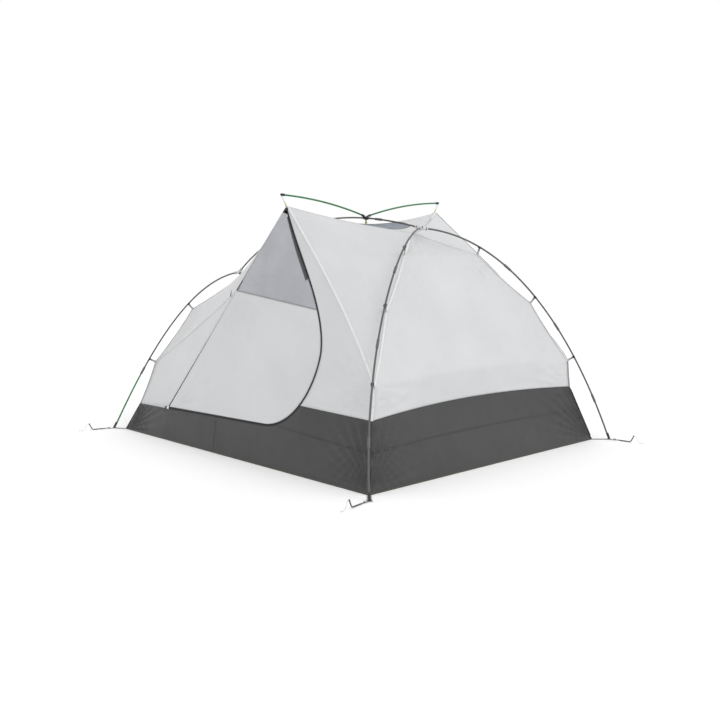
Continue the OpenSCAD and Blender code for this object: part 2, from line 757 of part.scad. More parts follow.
zip_first = 0.006;
coil_steps = 56;
module zip_front() {
  color("#1d1e20") coil(zip_first, 1, -coil_offset, front, coil_steps);
}

module zip_rear() {
  color("#1d1e20") coil(zip_first, 1, -coil_offset, rear, coil_steps);
}

module door_zip_front() {
  color("#1d1e20") coil(door_first, door_last, coil_offset, front, coil_steps);
}

module door_zip_rear() {
  color("#1d1e20") coil(door_first, door_last, coil_offset, rear, coil_steps);
}

// Zip sliders, parked past the low end of the zip
slider_w = 11;
slider_l = 16;
slider_t = 3;
slider_park = 26;
pull_l = 26;
pull_r = 1.6;
zip_way = unit(on_wall(zip_turn[3]) - on_wall(zip_end));
wall_tilt = asin(wall_out[2]);
wall_turn = atan2(wall_out[1], wall_out[0]);
module slider(s) {
  p = on_wall(zip_end) - slider_park * zip_way + wall_out * (coil_r + hair);
  color("#2a2c2e") translate(side(p, s)) rotate(s * wall_turn) rotate([0, -wall_tilt, 0]) {
    translate([0, 0, -slider_w / 2]) linear_extrude(height = slider_w)
      polygon([[0, -slider_l / 2], [slider_t, -slider_l / 3], [slider_t, slider_l / 3], [0, slider_l / 2]]);
    translate([slider_t - pull_r / 2, 0, -pull_l]) cylinder(h = pull_l, r = pull_r);
  }
}

module slider_front() {
  slider(front);
}

module slider_rear() {
  slider(rear);
}

// Tie toggles that hold a rolled door
tie_len = 32;
tie_off = 38;
tie_room = 4;
tie_r = 1.5;
bar_l = 18;
bar_r = 2.6;
bar_tilt = 12;
module tie(s) {
  top = side(on_wall(mesh_left - [tie_off, 0]) + tie_room * wall_out, s);
  low = side(on_wall(mesh_left - [tie_off, tie_len]) + tie_room * wall_out, s);
  color("#2a2c2e") {
    rod(top, low, tie_r);
    on_line(low, top) rotate([0, bar_tilt, 0]) translate([0, 0, -bar_l / 6]) cylinder(h = bar_l, r = bar_r);
  }
}

module tie_front() {
  tie(front);
}

module tie_rear() {
  tie(rear);
}

// Corner straps, stakes and their pull cords
strap_w = 20;
strap_t = 2;
eye_r = foot_r + 1.5;
eye_more = 4;
eye_back = 2;
loop_out = 26;
loop_len = 14;
stake_r = stake_d / 2;
loop_r = stake_r + 0.6;
head_tilt = 28;
knob_more = 1;
heading_front_high = -79;
heading_front_low = -105;
heading_rear_high = 3;
heading_rear_low = 128;

loop_wall = 1.4;
tail_back = 2;
deep = 10;
wide = 400;
module strap(corner, foot_p, heading) {
  v = [foot_p[0] - corner[0], foot_p[1] - corner[1]];
  run = norm(v) - eye_back;
  translate([foot_p[0], foot_p[1], 0]) difference() {
    union() {
      linear_extrude(height = strap_t) difference() {
        union() {
          rotate(atan2(v[1], v[0])) translate([-run, -strap_w / 2]) square([run, strap_w]);
          circle(r = strap_w / 2 + eye_more);
          rotate(heading) translate([0, -strap_w / 4]) square([loop_out, strap_w / 2]);
        }
        circle(r = eye_r);
      }
      rotate(heading) translate([loop_out, 0, stake_r]) rotate([0, 90, 0])
        cylinder(h = loop_len, r = loop_r + loop_wall);
    }
    rotate(heading) translate([loop_out - 2 * tail_back, 0, stake_r]) rotate([0, 90, 0])
      cylinder(h = loop_len + 4 * tail_back, r = loop_r);
    translate([0, 0, -deep]) linear_extrude(height = deep) square(wide, center = true);
  }
}

module corner_straps() {
  color("#a5a0a4") {
    strap(side(corner_high_at, front), side(foot_high_at, front), heading_front_high);
    strap(side(corner_low_at, front), side(foot_low_at, front), heading_front_low);
    strap(side(corner_high_at, rear), side(foot_high_at, rear), heading_rear_high);
    strap(side(corner_low_at, rear), side(foot_low_at, rear), heading_rear_low);
  }
}

function ground_way(heading) = [cos(heading), sin(heading), 0];
function head_way(heading) = sin(head_tilt) * ground_way(heading) + [0, 0, cos(head_tilt)];
function bend_at(foot_p, heading) = [foot_p[0], foot_p[1], stake_r]
  + (loop_out - tail_back + stake_length) * ground_way(heading);
function head_end(foot_p, heading) = bend_at(foot_p, heading) + stake_head * head_way(heading);

module stake(foot_p, heading) {
  tail = [foot_p[0], foot_p[1], stake_r] + (loop_out - tail_back) * ground_way(heading);
  color("#4d4b52") {
    bent([tail, bend_at(foot_p, heading), head_end(foot_p, heading)], stake_r);
    translate(head_end(foot_p, heading)) sphere(r = stake_r + knob_more);
  }
}

// Pull cord: steps outwards from the stake head and down from it, for the usual head height
cord_r = 0.9;
cord_sides = 8;
cord_gap = 2.5;
cord_rest = 0.65;
pull_route = [[0, 0], [4, 0], [8, -2], [11, -6], [13, -11], [15, -16], [17, -21], [20, -26], [24, -30],
  [28, -33], [33, -35], [38, -35], [43, -35], [48, -35], [53, -35]];
pull_fall = 35;
module pull(foot_p, heading) {
  way = ground_way(heading);
  across = [-way[1], way[0], 0];
  start = head_end(foot_p, heading) + way * (stake_r + cord_gap);
  fall = (start[2] - cord_r - cord_rest) / pull_fall;
  path = [for (r = pull_route) start + way * r[0] + [0, 0, r[1] * fall]];
  n = len(path) - 1;
  rings = [for (i = [0:n]) let (d = unit(path[min(i + 1, n)] - path[max(i - 1, 0)]), e = cross(across, d))
    [for (k = [0:cord_sides - 1]) path[i] + cord_r * (cos(360 * k / cord_sides) * across
      + sin(360 * k / cord_sides) * e)]];
  color("#c4c6c8") tube(rings, cord_sides, -1);
}

module stake_front_high() {
  stake(side(foot_high_at, front), heading_front_high);
}

module stake_front_low() {
  stake(side(foot_low_at, front), heading_front_low);
}

module stake_rear_high() {
  stake(side(foot_high_at, rear), heading_rear_high);
}

module stake_rear_low() {
  stake(side(foot_low_at, rear), heading_rear_low);
}

module pull_front_high() {
  pull(side(foot_high_at, front), heading_front_high);
}

module pull_front_low() {
  pull(side(foot_low_at, front), heading_front_low);
}

module pull_rear_high() {
  pull(side(foot_high_at, rear), heading_rear_high);
}

module pull_rear_low() {
  pull(side(foot_low_at, rear), heading_rear_low);
}

spine_pole();
hub_high();
hub_low();
leg_front_high();
leg_rear_high();
leg_front_low();
leg_rear_low();
leg_tip_front_low();
leg_tip_rear_low();
pole_ferrules();
pole_feet();
ridge_pole_front();
ridge_pole_rear();
ridge_hub();
ridge_caps();
ridge_toggle();
canopy_clips();
clip_tabs();
hub_tabs();
tip_hooks();
floor_sheet();
tub_front();
tub_rear();
tub_high();
tub_low();
wall_high();
wall_low();
side_front_high();
side_rear_high();
side_front_low();
side_rear_low();
gusset_front_high();
gusset_rear_high();
gusset_front_low();
gusset_rear_low();
roof_front();
roof_rear();
skylight();
door_front();
door_rear();
door_mesh_front();
door_mesh_rear();
zip_front();
zip_rear();
door_zip_front();
door_zip_rear();
slider_front();
slider_rear();
tie_front();
tie_rear();
corner_straps();
stake_front_high();
stake_front_low();
stake_rear_high();
stake_rear_low();
pull_front_high();
pull_front_low();
pull_rear_high();
pull_rear_low();
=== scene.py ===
"""A free-standing tent body on its poles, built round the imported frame, in metres and its axes.

X runs from the low end to the high end, -Y is the front door side and +Z is up. Shapes of a side
are worked out with y as a distance outwards, and placed with s = FRONT or REAR.
"""

import math

import bmesh
import bpy
import numpy as np
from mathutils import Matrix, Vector, noise


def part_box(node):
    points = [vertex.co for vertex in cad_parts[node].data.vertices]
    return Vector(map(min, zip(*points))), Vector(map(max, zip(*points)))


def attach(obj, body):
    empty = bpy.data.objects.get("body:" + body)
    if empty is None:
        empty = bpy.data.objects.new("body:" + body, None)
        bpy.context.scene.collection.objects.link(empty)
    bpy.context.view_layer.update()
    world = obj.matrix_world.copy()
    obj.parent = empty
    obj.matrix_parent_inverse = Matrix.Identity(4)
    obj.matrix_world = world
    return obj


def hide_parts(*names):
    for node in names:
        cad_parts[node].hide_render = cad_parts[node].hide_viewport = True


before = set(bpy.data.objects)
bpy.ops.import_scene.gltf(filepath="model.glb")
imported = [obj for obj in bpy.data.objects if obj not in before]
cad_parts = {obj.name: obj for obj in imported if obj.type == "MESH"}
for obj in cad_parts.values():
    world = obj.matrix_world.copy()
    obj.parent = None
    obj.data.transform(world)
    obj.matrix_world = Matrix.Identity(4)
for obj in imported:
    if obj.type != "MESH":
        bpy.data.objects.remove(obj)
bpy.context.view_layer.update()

FRONT, REAR = -1, 1
SIDES = ((FRONT, "front"), (REAR, "rear"))

# --- camera and view
CAMERA_AT = (3.812, -3.659, 1.021)
CAMERA_AZIMUTH, CAMERA_DOWN = math.radians(45.383), math.radians(6.443)
CAMERA_LENS, SENSOR = 47.5, 36.0

camera = bpy.data.objects.new("camera", bpy.data.cameras.new("camera"))
camera.data.lens, camera.data.sensor_width = CAMERA_LENS, SENSOR
camera.location = CAMERA_AT
looking = Vector((
    -math.sin(CAMERA_AZIMUTH) * math.cos(CAMERA_DOWN),
    math.cos(CAMERA_AZIMUTH) * math.cos(CAMERA_DOWN),
    -math.sin(CAMERA_DOWN),
))
camera.rotation_mode = "QUATERNION"
camera.rotation_quaternion = looking.to_track_quat("-Z", "Y")
bpy.context.scene.collection.objects.link(camera)
bpy.context.scene.camera = camera
bpy.context.scene.view_settings.view_transform = "Standard"


# --- small vector helpers
def vec(*xyz):
    return np.array(xyz, float)


UP = vec(0, 0, 1)


def steps_to_one(count):
    return np.linspace(0, 1, count)


def unit(v):
    v = np.asarray(v, float)
    return v / np.maximum(np.linalg.norm(v, axis=-1, keepdims=True), 1e-12)


def mix(a, b, t):
    t = np.asarray(t, float)[..., None]
    return a + (b - a) * t


def bez(c, t):
    t = np.asarray(t, float)[..., None]
    return c[0] * (1 - t) ** 3 + 3 * c[1] * t * (1 - t) ** 2 + 3 * c[2] * t * t * (1
        - t) + c[3] * t**3


def side(p, s):
    return np.asarray(p, float) * vec(1, s, 1)


def smooth_step(x):
    x = np.clip(x, 0, 1)
    return x * x * (3 - 2 * x)


# --- sizes, stretched to the frame
POLE_R, ROOM, SLEEVE_WALL = 0.0045, 0.00025, 0.003
BORE_R = POLE_R + ROOM
SLEEVE_R = BORE_R + SLEEVE_WALL
FOOT_R = 0.007
feet_low, feet_high = (vec(*corner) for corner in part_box("pole_feet"))
# The ridge pole's hub sits on the spine just over the toggle
RIDGE_SHARE = 0.739
SPINE_HEIGHTS = [vec(0.901), vec(1.262), vec(1.257), vec(1.146)]
toggle_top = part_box("ridge_toggle")[1].z
SX, SY = (feet_high - feet_low - 2 * FOOT_R)[:2] / vec(2.216, 1.872)
STEM_LEN = 0.010
SZ = (toggle_top + SLEEVE_R + 0.001 + STEM_LEN) / bez(SPINE_HEIGHTS, RIDGE_SHARE)[0]


def at(x, y, z):
    return vec(x * SX, y * SY, z * SZ)


HUB_HIGH, HUB_LOW = at(0.547, 0, 1.146), at(-0.973, 0, 0.901)
FOOT_HIGH, FOOT_LOW = at(1.108, 0.936, 0), at(-1.108, 0.827, 0)
RIDGE, TIP = at(0.150, 0, 1.212), at(0.150, 0.600, 1.307)
LEG_HIGH = [HUB_HIGH, at(0.781, 0.422, 1.117), at(0.936, 0.809, 0.597), FOOT_HIGH]
LEG_LOW = [HUB_LOW, at(-1.017, 0.335, 0.858), at(-1.065, 0.604, 0.443), FOOT_LOW]
SPINE = [HUB_LOW, at(-0.511, 0, 1.262), at(0.055, 0, 1.257), HUB_HIGH]
RIDGE_POLE = [at(0.150, 0, 1.214), at(0.150, 0.150, 1.256), at(0.150, 0.350, 1.299), TIP]
CLIPS_HIGH, CLIPS_LOW = (0.235, 0.5, 0.73), (0.375, 0.69)
COLOUR_CHANGE = 0.745
CLIP_REACH = 0.040
PEAK, PEAK_HALF = at(0.150, 0.560, 1.250), 0.014
ROOF_LOW = at(0.150, 0, 1.174)
APEX_HIGH, APEX_LOW, APEX_HALF = at(0.490, 0, 1.125), at(-0.945, 0, 0.870), 0.018
CORNER_HIGH, CORNER_LOW = at(1.040, 0.870, 0), at(-1.040, 0.790, 0)
TUB_HIGH, TUB_LOW = at(0.955, 0.768, 0.295), at(-1.000, 0.715, 0.147)
TUB_MID_HIGH, TUB_MID_LOW = at(0.905, 0, 0.318), at(-0.975, 0, 0.150)
HANG_HIGH, HANG_LOW = at(0.5, 0, 0), at(-0.5, 0, 0)

# --- stakes and their pull cords
STAKE_R = 0.003
LOOP_OUT, STAKE_BEND, STAKE_HEAD = 0.026, 0.128, 0.038
HEAD_TILT = math.radians(28)
CORD_R = 0.0009
# How far out and up each point of a pull cord lies from where it leaves the stake head
PULL_ROUTE = [
    (0, 0), (0.004, 0), (0.008, -0.002), (0.011, -0.006), (0.013, -0.011), (0.015, -0.016),
    (0.017, -0.021), (0.020, -0.026), (0.024, -0.030), (0.028, -0.033), (0.033, -0.035),
    (0.038, -0.035), (0.043, -0.035), (0.048, -0.035), (0.053, -0.035),
]
STAKES = {
    "front_high": (side(FOOT_HIGH, FRONT), -79),
    "front_low": (side(FOOT_LOW, FRONT), -105),
    "rear_high": (side(FOOT_HIGH, REAR), 3),
    "rear_low": (side(FOOT_LOW, REAR), 128),
}


def ground_way(heading):
    return vec(math.cos(math.radians(heading)), math.sin(math.radians(heading)), 0)


def stake_points(foot, heading):
    """Tail, bend and head end of a stake's wire."""
    way = ground_way(heading)
    base = foot * vec(1, 1, 0) + vec(0, 0, STAKE_R)
    bend = base + STAKE_BEND * way
    head = bend + STAKE_HEAD * (math.sin(HEAD_TILT) * way + vec(0, 0, math.cos(HEAD_TILT)))
    return base + (LOOP_OUT - 0.002) * way, bend, head


def pull_path(foot, heading):
    way = ground_way(heading)
    start = stake_points(foot, heading)[2] + (STAKE_R + 0.0025) * way
    return np.array([start + out * way + vec(0, 0, up) for out, up in PULL_ROUTE])


# --- mesh building
SHARP_ANGLE = math.radians(38)
WELD_REACH, MELT_REACH = 2e-5, 1e-6


def circle(count):
    """Cosines and sines of count even steps round a circle."""
    turn = np.linspace(0, 2 * np.pi, count, endpoint=False)
    return np.cos(turn), np.sin(turn)


def ring_axes(way):
    """Two directions square to way and to each other."""
    helper = UP if abs(way[2]) < 0.9 else vec(1, 0, 0)
    across = unit(np.cross(way, helper))
    return across, np.cross(way, across)


def run_length(points):
    """The distance gone along a line at each of its points."""
    return np.concatenate([[0], np.cumsum(np.linalg.norm(np.diff(points, axis=0), axis=1))])


def groove(start, stop, r, depth, slope):
    """Part of a turned profile: a groove with sloped walls."""
    return [(start, r), (start + slope, r - depth), (stop - slope, r - depth), (stop, r)]


def mirrored(half, length):
    """A turned profile that is the same from both ends."""
    return half + [(length - d, r) for d, r in half[::-1]]


class Shape:
    """Collects the points, faces and UVs of one piece. UVs are in metres."""

    def __init__(self):
        self.points, self.faces, self.uvs, self.count = [], [], [], 0

    def add(self, points, faces, uvs):
        self.points.append(np.asarray(points, float).reshape(-1, 3))
        self.uvs.append(np.asarray(uvs, float).reshape(-1, 2))
        self.faces += [tuple(self.count + i for i in f) for f in faces]
        self.count += len(self.points[-1])

    def grid(self, g, closed=False, flip=False):
        """A sheet through the points g[i][j]; closed joins the last column to the first."""
        n, m = g.shape[:2]
        uv = np.stack(np.meshgrid(run_length(g[n // 2]), run_length(g[:, m // 2])), axis=-1)
        cols = m if closed else m - 1
        quads = []
        for i in range(n - 1):
            for j in range(cols):
                k = (j + 1) % m
                quad = (i * m + j, i * m + k, (i + 1) * m + k, (i + 1) * m + j)
                quads.append(quad[::-1] if flip else quad)
        self.add(g, quads, uv)

    def skin(self, g, **kind):
        """A closed grid with a face over each end."""
        first, cols = self.count, g.shape[1]
        self.grid(g, closed=True, **kind)
        self.faces.append(tuple(first + i for i in range(cols)))
        last = first + (g.shape[0] - 1) * cols
        self.faces.append(tuple(last + i for i in reversed(range(cols))))

    def tube(self, path, radius, sides=12):
        """A round bar along path, with one radius or one for each point."""
        path = np.asarray(path, float)
        radii = np.broadcast_to(np.asarray(radius, float), len(path))
        way = unit(np.gradient(path, axis=0))
        across = [ring_axes(way[0])[0]]
        for w in way[1:]:
            across.append(unit(across[-1] - w * (across[-1] @ w)))
        across = np.array(across)
        up = np.cross(way, across)
        cos, sin = circle(sides)
        ring = cos[None, :, None] * across[:, None] + sin[None, :, None] * up[:, None]
        self.skin(path[:, None] + radii[:, None, None] * ring)

    def turned(self, start, way, profile, sides=20):
        """A turned shape: profile is (distance along way, radius) from one end to the other."""
        way = unit(way)
        a, b = ring_axes(way)
        cos, sin = circle(sides)
        ring = cos[:, None] * a + sin[:, None] * b
        self.skin(np.array([start + d * way + r * ring for d, r in profile]))

    def ribbon(self, path, out, width, thick, lift=0.0, crown=0.15):
        """A flat band along path. out points off the surface, and width may change along it."""
        path = np.asarray(path, float)
        out = unit(np.broadcast_to(out, path.shape))
        across = unit(np.cross(np.gradient(path, axis=0), out))
        half = np.broadcast_to(np.asarray(width, float), len(path))[:, None] / 2
        steps = (-1, -0.82, 0, 0.82, 1)
        heights = (0.45, 1 - crown, 1, 1 - crown, 0.45)
        top = [path + k * half * across + out * (lift + h * thick) for k, h in zip(steps, heights)]
        low = [path + k * half * across + out * lift for k in (1, -1)]
        self.skin(np.stack(top + low, axis=1))

    def block(self, centre, axes, size, edge=0.0006):
        """A box with chamfered edges; axes are its three directions."""
        axes = np.asarray(axes, float)
        half = np.asarray(size, float) / 2
        rows = []
        for z, shrink in ((-1, 1), (-1, 0), (1, 0), (1, 1)):
            inset = edge * shrink
            zz = z * (half[2] - (0 if shrink else edge))
            x, y = half[0] - inset, half[1] - inset
            c = min(edge, x * 0.9, y * 0.9)
            half_loop = [(-x + c, -y), (x - c, -y), (x, -y + c), (x, y - c)]
            loop = half_loop + [(-px, -py) for px, py in half_loop]
            rows.append([centre + px * axes[0] + py * axes[1] + zz * axes[2] for px, py in loop])
        first = self.count
        self.grid(np.array(rows), closed=True)
        self.faces.append(tuple(first + i for i in reversed(range(8))))
        self.faces.append(tuple(first + 24 + i for i in range(8)))

    def ball(self, centre, radius, rows, sides):
        tilt = np.linspace(0.02, np.pi - 0.02, rows)
        cos, sin = circle(sides)
        g = np.stack([
            np.sin(tilt)[:, None] * cos, np.sin(tilt)[:, None] * sin,
            np.cos(tilt)[:, None] * np.ones(sides),
        ], axis=-1)
        self.skin(centre + radius * g, flip=True)

    def piece(self, name, material, body, nodes=(), slot=None, thick=0.0, weld=False, offset=-1):
        """Makes the object; thick turns a single sheet into cloth of that thickness."""
        mesh = bpy.data.meshes.new(name)
        points = np.concatenate(self.points)
        mesh.from_pydata(points.tolist(), [], self.faces)
        layer = mesh.uv_layers.new(name="UVMap")
        uvs = np.concatenate(self.uvs)
        index = np.zeros(len(mesh.loops), np.int32)
        mesh.loops.foreach_get("vertex_index", index)
        layer.data.foreach_set("uv", uvs[index].astype(np.float32).ravel())
        mesh.update()
        obj = bpy.data.objects.new(name, mesh)
        bpy.context.scene.collection.objects.link(obj)
        bm = bmesh.new()
        bm.from_mesh(mesh)
        if weld:
            bmesh.ops.remove_doubles(bm, verts=bm.verts, dist=WELD_REACH)
        bmesh.ops.dissolve_degenerate(bm, edges=bm.edges, dist=MELT_REACH)
        bmesh.ops.recalc_face_normals(bm, faces=bm.faces)
        bm.to_mesh(mesh)
        bm.free()
        for polygon in mesh.polygons:
            polygon.use_smooth = True
        mesh.materials.append(material)
        if thick:
            solid = obj.modifiers.new("cloth_thickness", "SOLIDIFY")
            solid.thickness, solid.offset = thick, offset
        else:
            mesh.set_sharp_from_angle(angle=SHARP_ANGLE)
        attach(obj, body)
        if nodes:
            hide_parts(*nodes)
        return obj


# --- materials
def shader_input(mat, name):
    return mat.node_tree.nodes["Principled BSDF"].inputs[name]


def material(name, colour, roughness, metallic=0.0, sheen=0.0, coat=0.0):
    """A principled material, with its node tree ready for detail."""
    mat = bpy.data.materials.new(name)
    mat.use_nodes = True
    for key, value in (("Base Color", (*colour, 1)), ("Roughness", roughness),
        ("Metallic", metallic),
                       ("Sheen Weight", sheen), ("Coat Weight", coat)):
        shader_input(mat, key).default_value = value
    mat.diffuse_color = (*colour, 1)
    return mat


def add_node(mat, kind, **values):
    node = mat.node_tree.nodes.new(kind)
    for key, value in values.items():
        if key in node.inputs:
            node.inputs[key].default_value = value
        else:
            setattr(node, key, value)
    return node


def link(mat, a, b):
    mat.node_tree.links.new(a, b)


def math_node(mat, operation, a, b):
    node = add_node(mat, "ShaderNodeMath", operation=operation)
    for socket, value in zip(node.inputs, (a, b)):
        if isinstance(value, (int, float)):
            socket.default_value = value
        else:
            link(mat, value, socket)
    return node.outputs[0]


def noise_at(mat, scale, detail=3.0):
    coords = add_node(mat, "ShaderNodeTexCoord")
    tex = add_node(mat, "ShaderNodeTexNoise", Scale=scale, Detail=detail)
    link(mat, coords.outputs["Object"], tex.inputs["Vector"])
    return tex.outputs["Fac"]


def threads(mat, axis, pitch):
    """A row of threads across the UVs, 0 to 1."""
    coords = add_node(mat, "ShaderNodeTexCoord")
    parts = add_node(mat, "ShaderNodeSeparateXYZ")
    link(mat, coords.outputs["UV"], parts.inputs[0])
    wave = math_node(mat, "SINE", math_node(mat, "MULTIPLY", parts.outputs[axis],
        2 * math.pi / pitch), 0)
    return math_node(mat, "MULTIPLY", math_node(mat, "ADD", wave, 1.0), 0.5)


def vary(mat, colour, factor, spread):
    """Colour that drifts a little with factor, lighter and darker by spread."""
    ramp = add_node(mat, "ShaderNodeValToRGB")
    for element, position, gain in zip(ramp.color_ramp.elements, (0.35, 0.65),
        (1 - spread, 1 + spread)):
        element.position = position
        element.color = (*[min(1, c * gain) for c in colour], 1)
    link(mat, factor, ramp.inputs["Fac"])
    link(mat, ramp.outputs["Color"], shader_input(mat, "Base Color"))


def rough(mat, factor, low, high):
    spread = add_node(mat, "ShaderNodeMapRange")
    spread.inputs["To Min"].default_value, spread.inputs["To Max"].default_value = low, high
    link(mat, factor, spread.inputs["Value"])
    link(mat, spread.outputs[0], shader_input(mat, "Roughness"))


def bump(mat, height, strength, distance):
    node = add_node(mat, "ShaderNodeBump", Strength=strength, Distance=distance)
    link(mat, height, node.inputs["Height"])
    link(mat, node.outputs["Normal"], shader_input(mat, "Normal"))


def cloth(name, colour, roughness=0.6, pitch=0.0012, rip=0.007, spread=0.03, weave=0.25, sheen=0.1):
    """Ripstop nylon: a fine plain weave, a thicker thread every few millimetres, soft creases."""
    mat = material(name, colour, roughness, sheen=sheen)
    fine = math_node(mat, "MULTIPLY", threads(mat, 0, pitch), threads(mat, 1, pitch))
    ribs = math_node(
        mat, "MAXIMUM",
        math_node(mat, "POWER", threads(mat, 0, rip), 24.0),
        math_node(mat, "POWER", threads(mat, 1, rip), 24.0),
    )
    crease = noise_at(mat, 26.0, 4.0)
    height = math_node(mat, "ADD", math_node(mat, "ADD", math_node(mat, "MULTIPLY", fine, 0.4),
        ribs),
                       math_node(mat, "MULTIPLY", crease, 4.0))
    bump(mat, height, weave, 0.0006)
    vary(mat, colour, noise_at(mat, 3.2), spread)
    rough(mat, noise_at(mat, 40.0), roughness - 0.07, roughness + 0.08)
    return mat


def netting(name, colour, cell, holes):
    """See-through mesh cloth: rows of small holes between threads, holes is the open share."""
    mat = material(name, colour, 0.75, sheen=0.1)
    weave = math_node(mat, "MULTIPLY", threads(mat, 0, cell), threads(mat, 1, cell))
    spread = add_node(mat, "ShaderNodeMapRange", **{"From Min": holes, "From Max": holes + 0.06})
    spread.inputs["To Min"].default_value, spread.inputs["To Max"].default_value = 1.0, 0.08
    link(mat, weave, spread.inputs["Value"])
    link(mat, spread.outputs[0], shader_input(mat, "Alpha"))
    bump(mat, math_node(mat, "SUBTRACT", 1.0, weave), 0.3, 0.0004)
    vary(mat, colour, noise_at(mat, 5.0), 0.06)
    return mat


def moulded(name, colour, roughness=0.42, coat=0.1):
    mat = material(name, colour, roughness, coat=coat)
    grain = noise_at(mat, 900.0, 2.0)
    bump(mat, grain, 0.12, 0.0003)
    vary(mat, colour, noise_at(mat, 60.0), 0.10)
    rough(mat, noise_at(mat, 220.0), roughness - 0.08, roughness + 0.12)
    return mat


def tube_metal(name, colour, roughness, metallic, spread=0.08):
    """Anodised tube: fine lines along its length, slight wear in the colour."""
    mat = material(name, colour, roughness, metallic=metallic, coat=0.05)
    lines = threads(mat, 0, 0.0016)
    scuffs = noise_at(mat, 130.0, 5.0)
    bump(mat, math_node(mat, "ADD", lines, scuffs), 0.08, 0.0002)
    vary(mat, colour, scuffs, spread)
    rough(mat, noise_at(mat, 300.0), roughness - 0.06, roughness + 0.12)
    return mat


def tape(name, colour, roughness=0.7, pitch=0.0016, stitch=0.0032, stitched=0.35, spread=0.05):
    """Woven tape: ribs across it and two rows of stitches along it."""
    mat = material(name, colour, roughness, sheen=0.15)
    ribs = math_node(mat, "MULTIPLY", threads(mat, 1, pitch), threads(mat, 0, pitch * 1.4))
    thread = math_node(mat, "POWER", threads(mat, 1, stitch), 3.0)
    height = math_node(mat, "ADD", ribs, math_node(mat, "MULTIPLY", thread, stitched))
    bump(mat, height, 0.35, 0.0005)
    vary(mat, colour, noise_at(mat, 90.0), spread)
    rough(mat, noise_at(mat, 160.0), roughness - 0.08, roughness + 0.08)
    return mat


CANOPY = cloth("canopy_ripstop", (0.585, 0.590, 0.598), 0.58)
TUB = cloth("tub_ripstop", (0.0325, 0.0325, 0.0345), 0.50, rip=0.006, spread=0.10, weave=0.3,
    sheen=0.05)
FLOOR = cloth("floor_ripstop", (0.034, 0.035, 0.036), 0.5, rip=0.006, spread=0.1)
NET = netting("window_net", (0.43, 0.44, 0.47), 0.0016, 0.62)
LIGHT_NET = netting("roof_net", (0.21, 0.235, 0.285), 0.0016, 0.66)
POLE_GREY = tube_metal("pole_anodised_grey", (0.105, 0.105, 0.097), 0.34, 0.55)
POLE_GREEN = tube_metal("pole_anodised_green", (0.035, 0.195, 0.070), 0.34, 0.45)
FERRULE = tube_metal("ferrule_bare", (0.125, 0.125, 0.118), 0.34, 0.6)
WHITE_PLASTIC = moulded("hub_pale_plastic", (0.60, 0.61, 0.62), 0.45)
BLACK_PLASTIC = moulded("clip_black_plastic", (0.014, 0.014, 0.016), 0.4)
LIME_PLASTIC = moulded("toggle_lime_plastic", (0.36, 0.56, 0.055), 0.4)
WEBBING = tape("webbing_mauve_grey", (0.33, 0.305, 0.325), 0.78, pitch=0.0018)
PALE_WEBBING = tape("webbing_pale", (0.52, 0.53, 0.54), 0.75, pitch=0.0018)
SEAM_TAPE = tape("seam_tape_white", (0.70, 0.70, 0.71), 0.6)
FLAT_SEAM = tape("seam_folded_canopy", (0.615, 0.62, 0.628), 0.62)
TUB_SEAM = tape("seam_folded_tub", (0.020, 0.020, 0.022), 0.6)
NET_HEM = tape("net_hem_grey", (0.27, 0.275, 0.295), 0.6)
BINDING = tape("binding_dark", (0.026, 0.027, 0.031), 0.5)
# The tub-foot strip's olive-grey colour is painted shade: the shadowed band where the raised tub
# meets the ground.
TUB_FOOT_SHADE = tape("tub_foot_painted_shade", (0.040, 0.038, 0.026), 0.6)
ZIP_TAPE = tape("zip_tape_black", (0.016, 0.016, 0.018), 0.75, pitch=0.001)
ZIP_TEETH = moulded("zip_teeth_black", (0.012, 0.012, 0.013), 0.35)
SMALL_BLACK = tape("tie_cord_black", (0.016, 0.016, 0.017), 0.7, pitch=0.0012)
STAKE_METAL = tube_metal("stake_wire", (0.115, 0.108, 0.130), 0.32, 0.8)
CORD = tape("pull_cord_pale", (0.52, 0.53, 0.54), 0.8, pitch=0.0010, stitch=0.0022)
GROMMET = tube_metal("strap_ring", (0.14, 0.14, 0.15), 0.3, 0.85)

# --- pull cords first, then their stakes
BEND_STEPS, BEND_R = 9, 0.009
KNOT_STEPS, KNOT_R = 40, 0.00075


def rounded(points, radius):
    """The corners of a wire's route, made into arcs."""
    a, b, c = points
    into, out = unit(b - a), unit(c - b)
    start, end = b - radius * into, b + radius * out
    t = steps_to_one(BEND_STEPS)[:, None]
    arc = start * (1 - t) ** 2 + 2 * b * t * (1 - t) + end * t * t
    return np.vstack([a[None], mix(a, start, [0.5]), arc, mix(end, c, [0.5]), c[None]])


